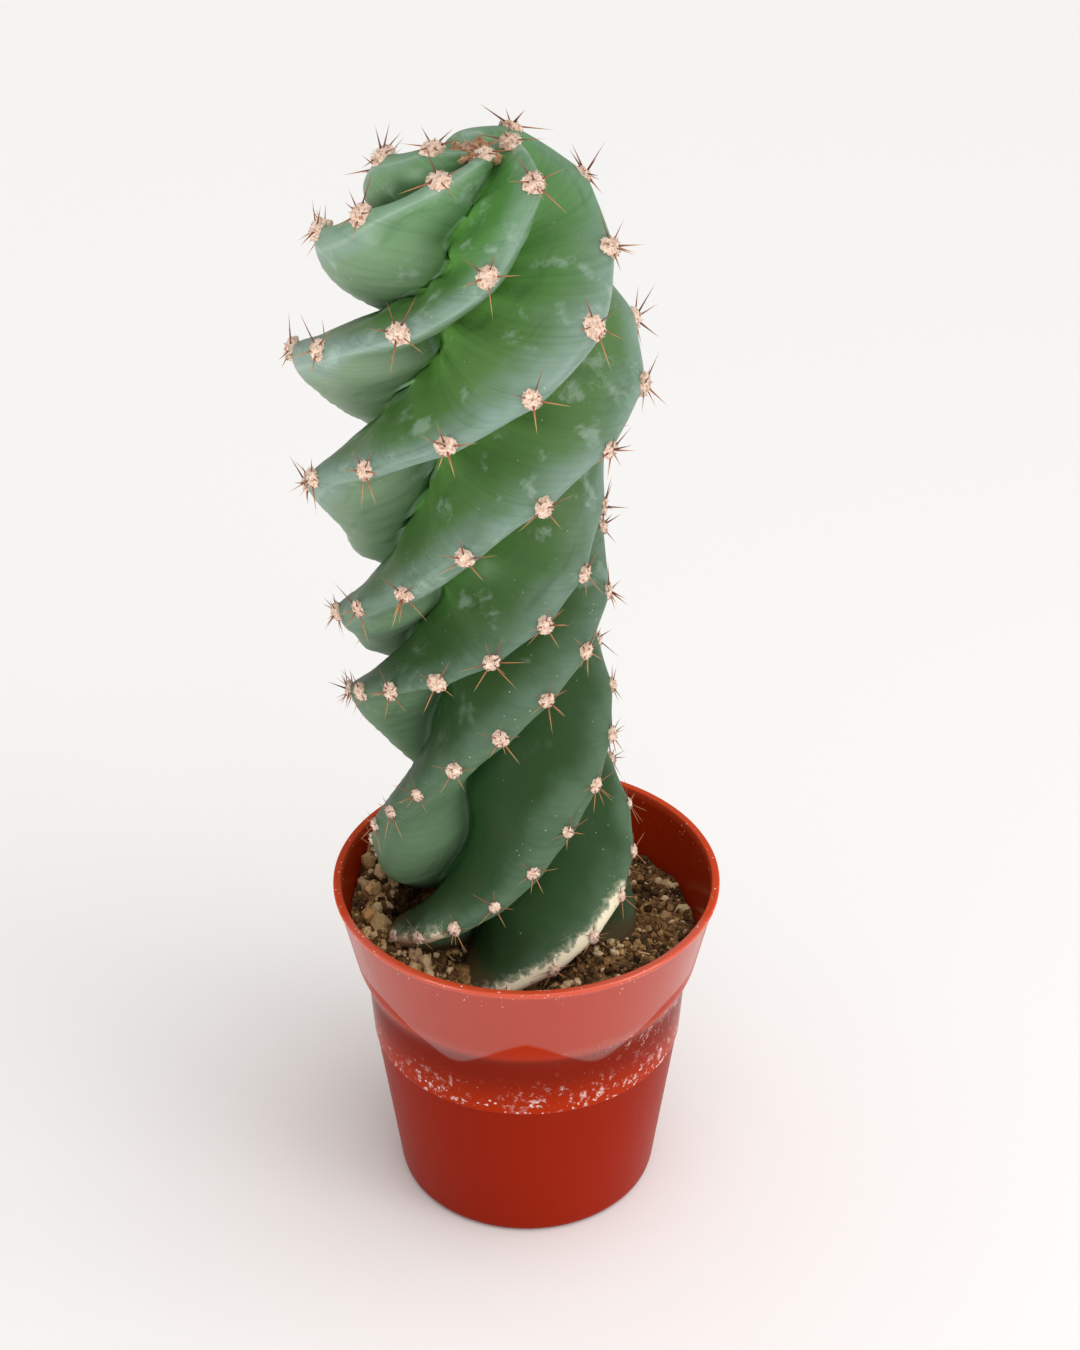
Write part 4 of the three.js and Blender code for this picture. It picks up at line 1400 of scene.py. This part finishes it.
# %% Shapes of the crumbs
CRUMBS = {"kinds": 6, "count": 4200, "smallest": 0.35, "largest": 2.5, "mostly_small": 5,
          "darkest": 0.24, "paler": 0.7, "mostly_dark": 1.9, "pit_painted_shade": 0.45, "pit_rim": -0.1,
          "lifted": 0.3, "under_stem": 1.0, "from_wall": 1.4, "field": 57, "first_seed": 200}
STRAWS = {"count": 170, "width": 0.3, "lengths": (1.5, 4.5), "tones": (0.45, 0.95), "bed": 0.5,
          "flatness": 0.25}
# Paler, larger grit lies at the left: where, one in how many, how much larger, and its tones.
GRIT = {"left_of": -24, "one_in": 6, "times": 1.7, "more": 0.6, "tones": (0.6, 0.85)}


def crumb_shape(seed):
    """A lumpy crumb of a few dozen faces and about unit size in millimetres."""
    shape = bmesh.new()
    bmesh.ops.create_icosphere(shape, subdivisions=1, radius=1.0)
    draw = random.Random(seed)
    squash = [draw.uniform(0.5, 1.0), draw.uniform(0.6, 1.1), draw.uniform(0.45, 0.8)]
    for vertex in shape.verts:
        lump = draw.uniform(0.72, 1.12)
        vertex.co = Vector([vertex.co[i] * squash[i] * lump for i in range(3)])
    points = [list(v.co) for v in shape.verts]
    faces = [[v.index for v in face.verts] for face in shape.faces]
    shape.free()
    return points, faces


# %% Where the crumbs lie
# The stem's foot as points: places up the stem and turns round it, and what counts as near.
FOOT = {"places": (2.0, 5.0, 0.02), "turns": 96, "same_height": 1.2, "same_bearing": 0.12}


def scatter_spots(draw, count):
    """Random places on the open soil, outside the stem, in millimetres."""
    spots = []
    places = np.arange(*FOOT["places"])
    turns = np.arange(FOOT["turns"]) * RIBS / FOOT["turns"]
    outline = stem_points(np.repeat(places, len(turns)), np.tile(turns, len(places)))
    while len(spots) < count:
        x = draw.uniform(-CRUMBS["field"], CRUMBS["field"])
        y = draw.uniform(-CRUMBS["field"], CRUMBS["field"])
        z = float(soil_height(x, y))
        if math.hypot(x, y) > float(pot_wall_radius(z)) - POT["wall"] - CRUMBS["from_wall"]:
            continue
        level = outline[np.abs(outline[:, 2] - z) < FOOT["same_height"]]
        centre = level.mean(axis=0)
        turn = math.atan2(y - centre[1], x - centre[0])
        bearing = np.arctan2(level[:, 1] - centre[1], level[:, 0] - centre[0])
        off = np.abs((bearing - turn + math.pi) % (2 * math.pi) - math.pi)
        close = off < FOOT["same_bearing"]
        out = np.hypot(level[close, 0] - centre[0], level[close, 1] - centre[1])
        stem_reach = out.max() if close.any() else 0
        if math.hypot(x - centre[0], y - centre[1]) < stem_reach - CRUMBS["under_stem"]:
            continue
        spots.append((x, y))
    return np.array(spots)


# %% Scatter the crumbs


def scatter_crumbs():
    """One piece of all the loose crumbs, grit and straw on the soil."""
    draw = random.Random(77)
    spots = scatter_spots(draw, CRUMBS["count"] + STRAWS["count"])
    heights = soil_top(spots[:, 0], spots[:, 1])
    points, aims, scales, tones, kinds = [], [], [], [], []
    more = CRUMBS["largest"] - CRUMBS["smallest"]
    for i, ((x, y), z) in enumerate(zip(spots, heights)):
        size = CRUMBS["smallest"] + more * draw.random() ** CRUMBS["mostly_small"]
        aim = [draw.gauss(0, 1), draw.gauss(0, 1), draw.gauss(0, 1)]
        tone = CRUMBS["darkest"] + CRUMBS["paler"] * draw.random() ** CRUMBS["mostly_dark"]
        if x < GRIT["left_of"] and i % GRIT["one_in"] == 0:
            size = size * GRIT["times"] + GRIT["more"]
            tone = draw.uniform(*GRIT["tones"])
        # Crumbs in the hollow under a rib are painted darker, as painted shade.
        if pit_share(x, y) > CRUMBS["pit_rim"]:
            tone *= CRUMBS["pit_painted_shade"]
        stretch = [size, size, size]
        if i >= CRUMBS["count"]:
            size = STRAWS["bed"]
            aim[2] = STRAWS["flatness"] * abs(aim[2])
            stretch = [STRAWS["width"], STRAWS["width"], draw.uniform(*STRAWS["lengths"])]
            tone = draw.uniform(*STRAWS["tones"])
        points.append([x, y, z + CRUMBS["lifted"] * size])
        aims.append(aim)
        scales.append(stretch)
        tones.append(tone)
        kinds.append(draw.randrange(CRUMBS["kinds"]))
    shapes = []
    for k in range(CRUMBS["kinds"]):
        shapes.append(new_piece(f"crumb_{k}", *crumb_shape(CRUMBS["first_seed"] + k), smooth=False))

    def one_of_the_crumbs(tree, entry):
        """All the shapes side by side. Each point picks one by its number."""
        several = tree.nodes.new("GeometryNodeJoinGeometry")
        for shape in reversed(shapes):
            held = put(tree, "GeometryNodeObjectInfo", {"Object": shape, "As Instance": True})
            tree.links.new(held.outputs["Geometry"], several.inputs[0])
        return several.outputs[0]

    material = peat_soil("loose_peat_and_sand", True)
    cloud = point_cloud("soil_crumbs", points, aim=np.array(aims), stretch=np.array(scales),
                        tone=tones, kind=kinds)
    tree = copies_tree("soil_crumbs_tree", one_of_the_crumbs, material, {"Size": 1.0, "Seed": 6}, "kind")
    piece = grow(cloud, tree, {"Size": 1.0, "Seed": 6}, material)
    for shape in shapes:
        bpy.data.objects.remove(shape)
    return piece


crumbs = scatter_crumbs()
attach(crumbs, "root")
print("crumbs:", triangles(crumbs), "triangles")

# %% [markdown]
# A few stones are large enough to be pieces of their own. Each is a ball of fine faces
# pressed into the box that its solid fills in the frame, then worn uneven by soft noise.

# %% Stones
STONES = {
    "stone_1": "#dcb279", "stone_2": "#cf9e62", "stone_3": "#e2c088",
    "stone_4": "#8d857c", "stone_5": "#776f69", "stone_6": "#b08a5c",
}
STONE_DIRT = "#5a4128"
STONE_SIZE = 0.88
STONE_LUMPS = [(0.3, 1.4), (0.08, 5.0)]  # height, and how many across


def rough_stone(name, shade):
    """Broken sandstone or gravel: matt, with darker pits and a dusting of soil."""
    material, tree = new_material(name)
    place = put(tree, "TexCoord").outputs["Object"]
    grain = put(tree, "TexNoise",
                {"Vector": place, "Scale": 1 / (1.4 * MM), "Detail": 6.0, "Roughness": 0.65})
    clean = put(tree, "ValToRGB", {"Fac": grain}, stops=[(0.28, 0.0), (0.46, 1.0)])
    shader = put(tree, "BsdfPrincipled", {
        "Base Color": laid_over(tree, STONE_DIRT, shade, clean),
        "Roughness": 0.88,
        "Normal": put(tree, "Bump", {"Height": grain, "Strength": 0.7, "Distance": 0.4 * MM}),
    })
    put(tree, "OutputMaterial", {"Surface": shader})
    return material


def build_stone(node, seed):
    """A worn stone in the box of its solid."""
    low, high = [np.array(corner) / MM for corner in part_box(node)]
    ball = bmesh.new()
    bmesh.ops.create_icosphere(ball, subdivisions=4, radius=1.0)
    points = []
    for vertex in ball.verts:
        p = vertex.co
        shift = Vector((seed * 3.1, seed * 1.7, seed * 5.3))
        lump = lumpy(STONE_SIZE, p, STONE_LUMPS, shift)
        points.append((low + high) / 2 + (high - low) / 2 * np.array(p) * lump)
    faces = [[v.index for v in face.verts] for face in ball.faces]
    ball.free()
    return new_piece(node + "_weathered", points, faces)


for seed, (node, shade) in enumerate(STONES.items()):
    stone = build_stone(node, seed)
    stone.data.materials.append(rough_stone(node + "_gravel", shade))
    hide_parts(node)
    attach(stone, "root")
print(len(STONES), "stones")

# %% [markdown]
# A plain pale floor and soft light let the plant's own colours speak. Most of the light
# comes from the pale world, which surrounds the plant as a white room does. A very wide sun
# from the front right gives the ribs a lit and a shaded side. One low panel at the right
# brightens the pot, and a weak narrow one at the left opens the ribs' undersides.

# %% Floor, world and lamps
FLOOR = {"shade": "#f7f6f5", "half_size": 4000}
WORLD = {"shade": "#f7f5f3", "strength": 0.66}
SUN = {"strength": 1.35, "width": 70, "way": (-0.45, 0.35, -1.0)}
PANELS = {
    # place and aim in metres, size in metres, watts, spread in degrees
    "right_panel": ((0.9, -0.5, 0.2), (0.02, 0, 0.06), 0.5, 2.0, 120),
    "left_fill": ((-0.62, -0.6, 0.06), (-0.03, 0, 0.27), 0.35, 0.5, 45),
}


def pale_floor():
    """Matt painted board: it shows soft shadows and reflects nothing."""
    material, tree = new_material("pale_matt_floor")
    shader = put(tree, "BsdfPrincipled", {"Base Color": FLOOR["shade"], "Roughness": 0.9})
    put(tree, "OutputMaterial", {"Surface": shader})
    return material


def new_lamp(name, kind, way):
    """A lamp that shines along a way."""
    lamp = bpy.data.objects.new(name, bpy.data.lights.new(name, kind))
    lamp.rotation_euler = Vector(way).to_track_quat("-Z", "Y").to_euler()
    bpy.context.scene.collection.objects.link(lamp)
    return lamp


# %% Set up the floor and the light
side = FLOOR["half_size"]
corners = [(-side, -side, 0), (side, -side, 0), (side, side, 0), (-side, side, 0)]
floor = new_piece("floor", corners, [(0, 1, 2, 3)])
floor.data.materials.append(pale_floor())

world = bpy.data.worlds.new("studio")
world.use_nodes = True
world.node_tree.nodes["Background"].inputs["Color"].default_value = linear(WORLD["shade"])
world.node_tree.nodes["Background"].inputs["Strength"].default_value = WORLD["strength"]
bpy.context.scene.world = world
bpy.context.scene.view_settings.view_transform = "Standard"
sun = new_lamp("soft_key", "SUN", SUN["way"])
sun.data.energy = SUN["strength"]
sun.data.angle = math.radians(SUN["width"])
for name, (place, aim, size, watts, spread) in PANELS.items():
    lamp = new_lamp(name, "AREA", Vector(aim) - Vector(place))
    lamp.location = place
    lamp.data.shape = "SQUARE"
    lamp.data.size = size
    lamp.data.energy = watts
    lamp.data.spread = math.radians(spread)
print(len(PANELS), "panels and a sun")

# %% [markdown]
# Last, the frame's box is printed.

# %% Finish
print("frame box:", np.round(CAD_BOX, 4).tolist())
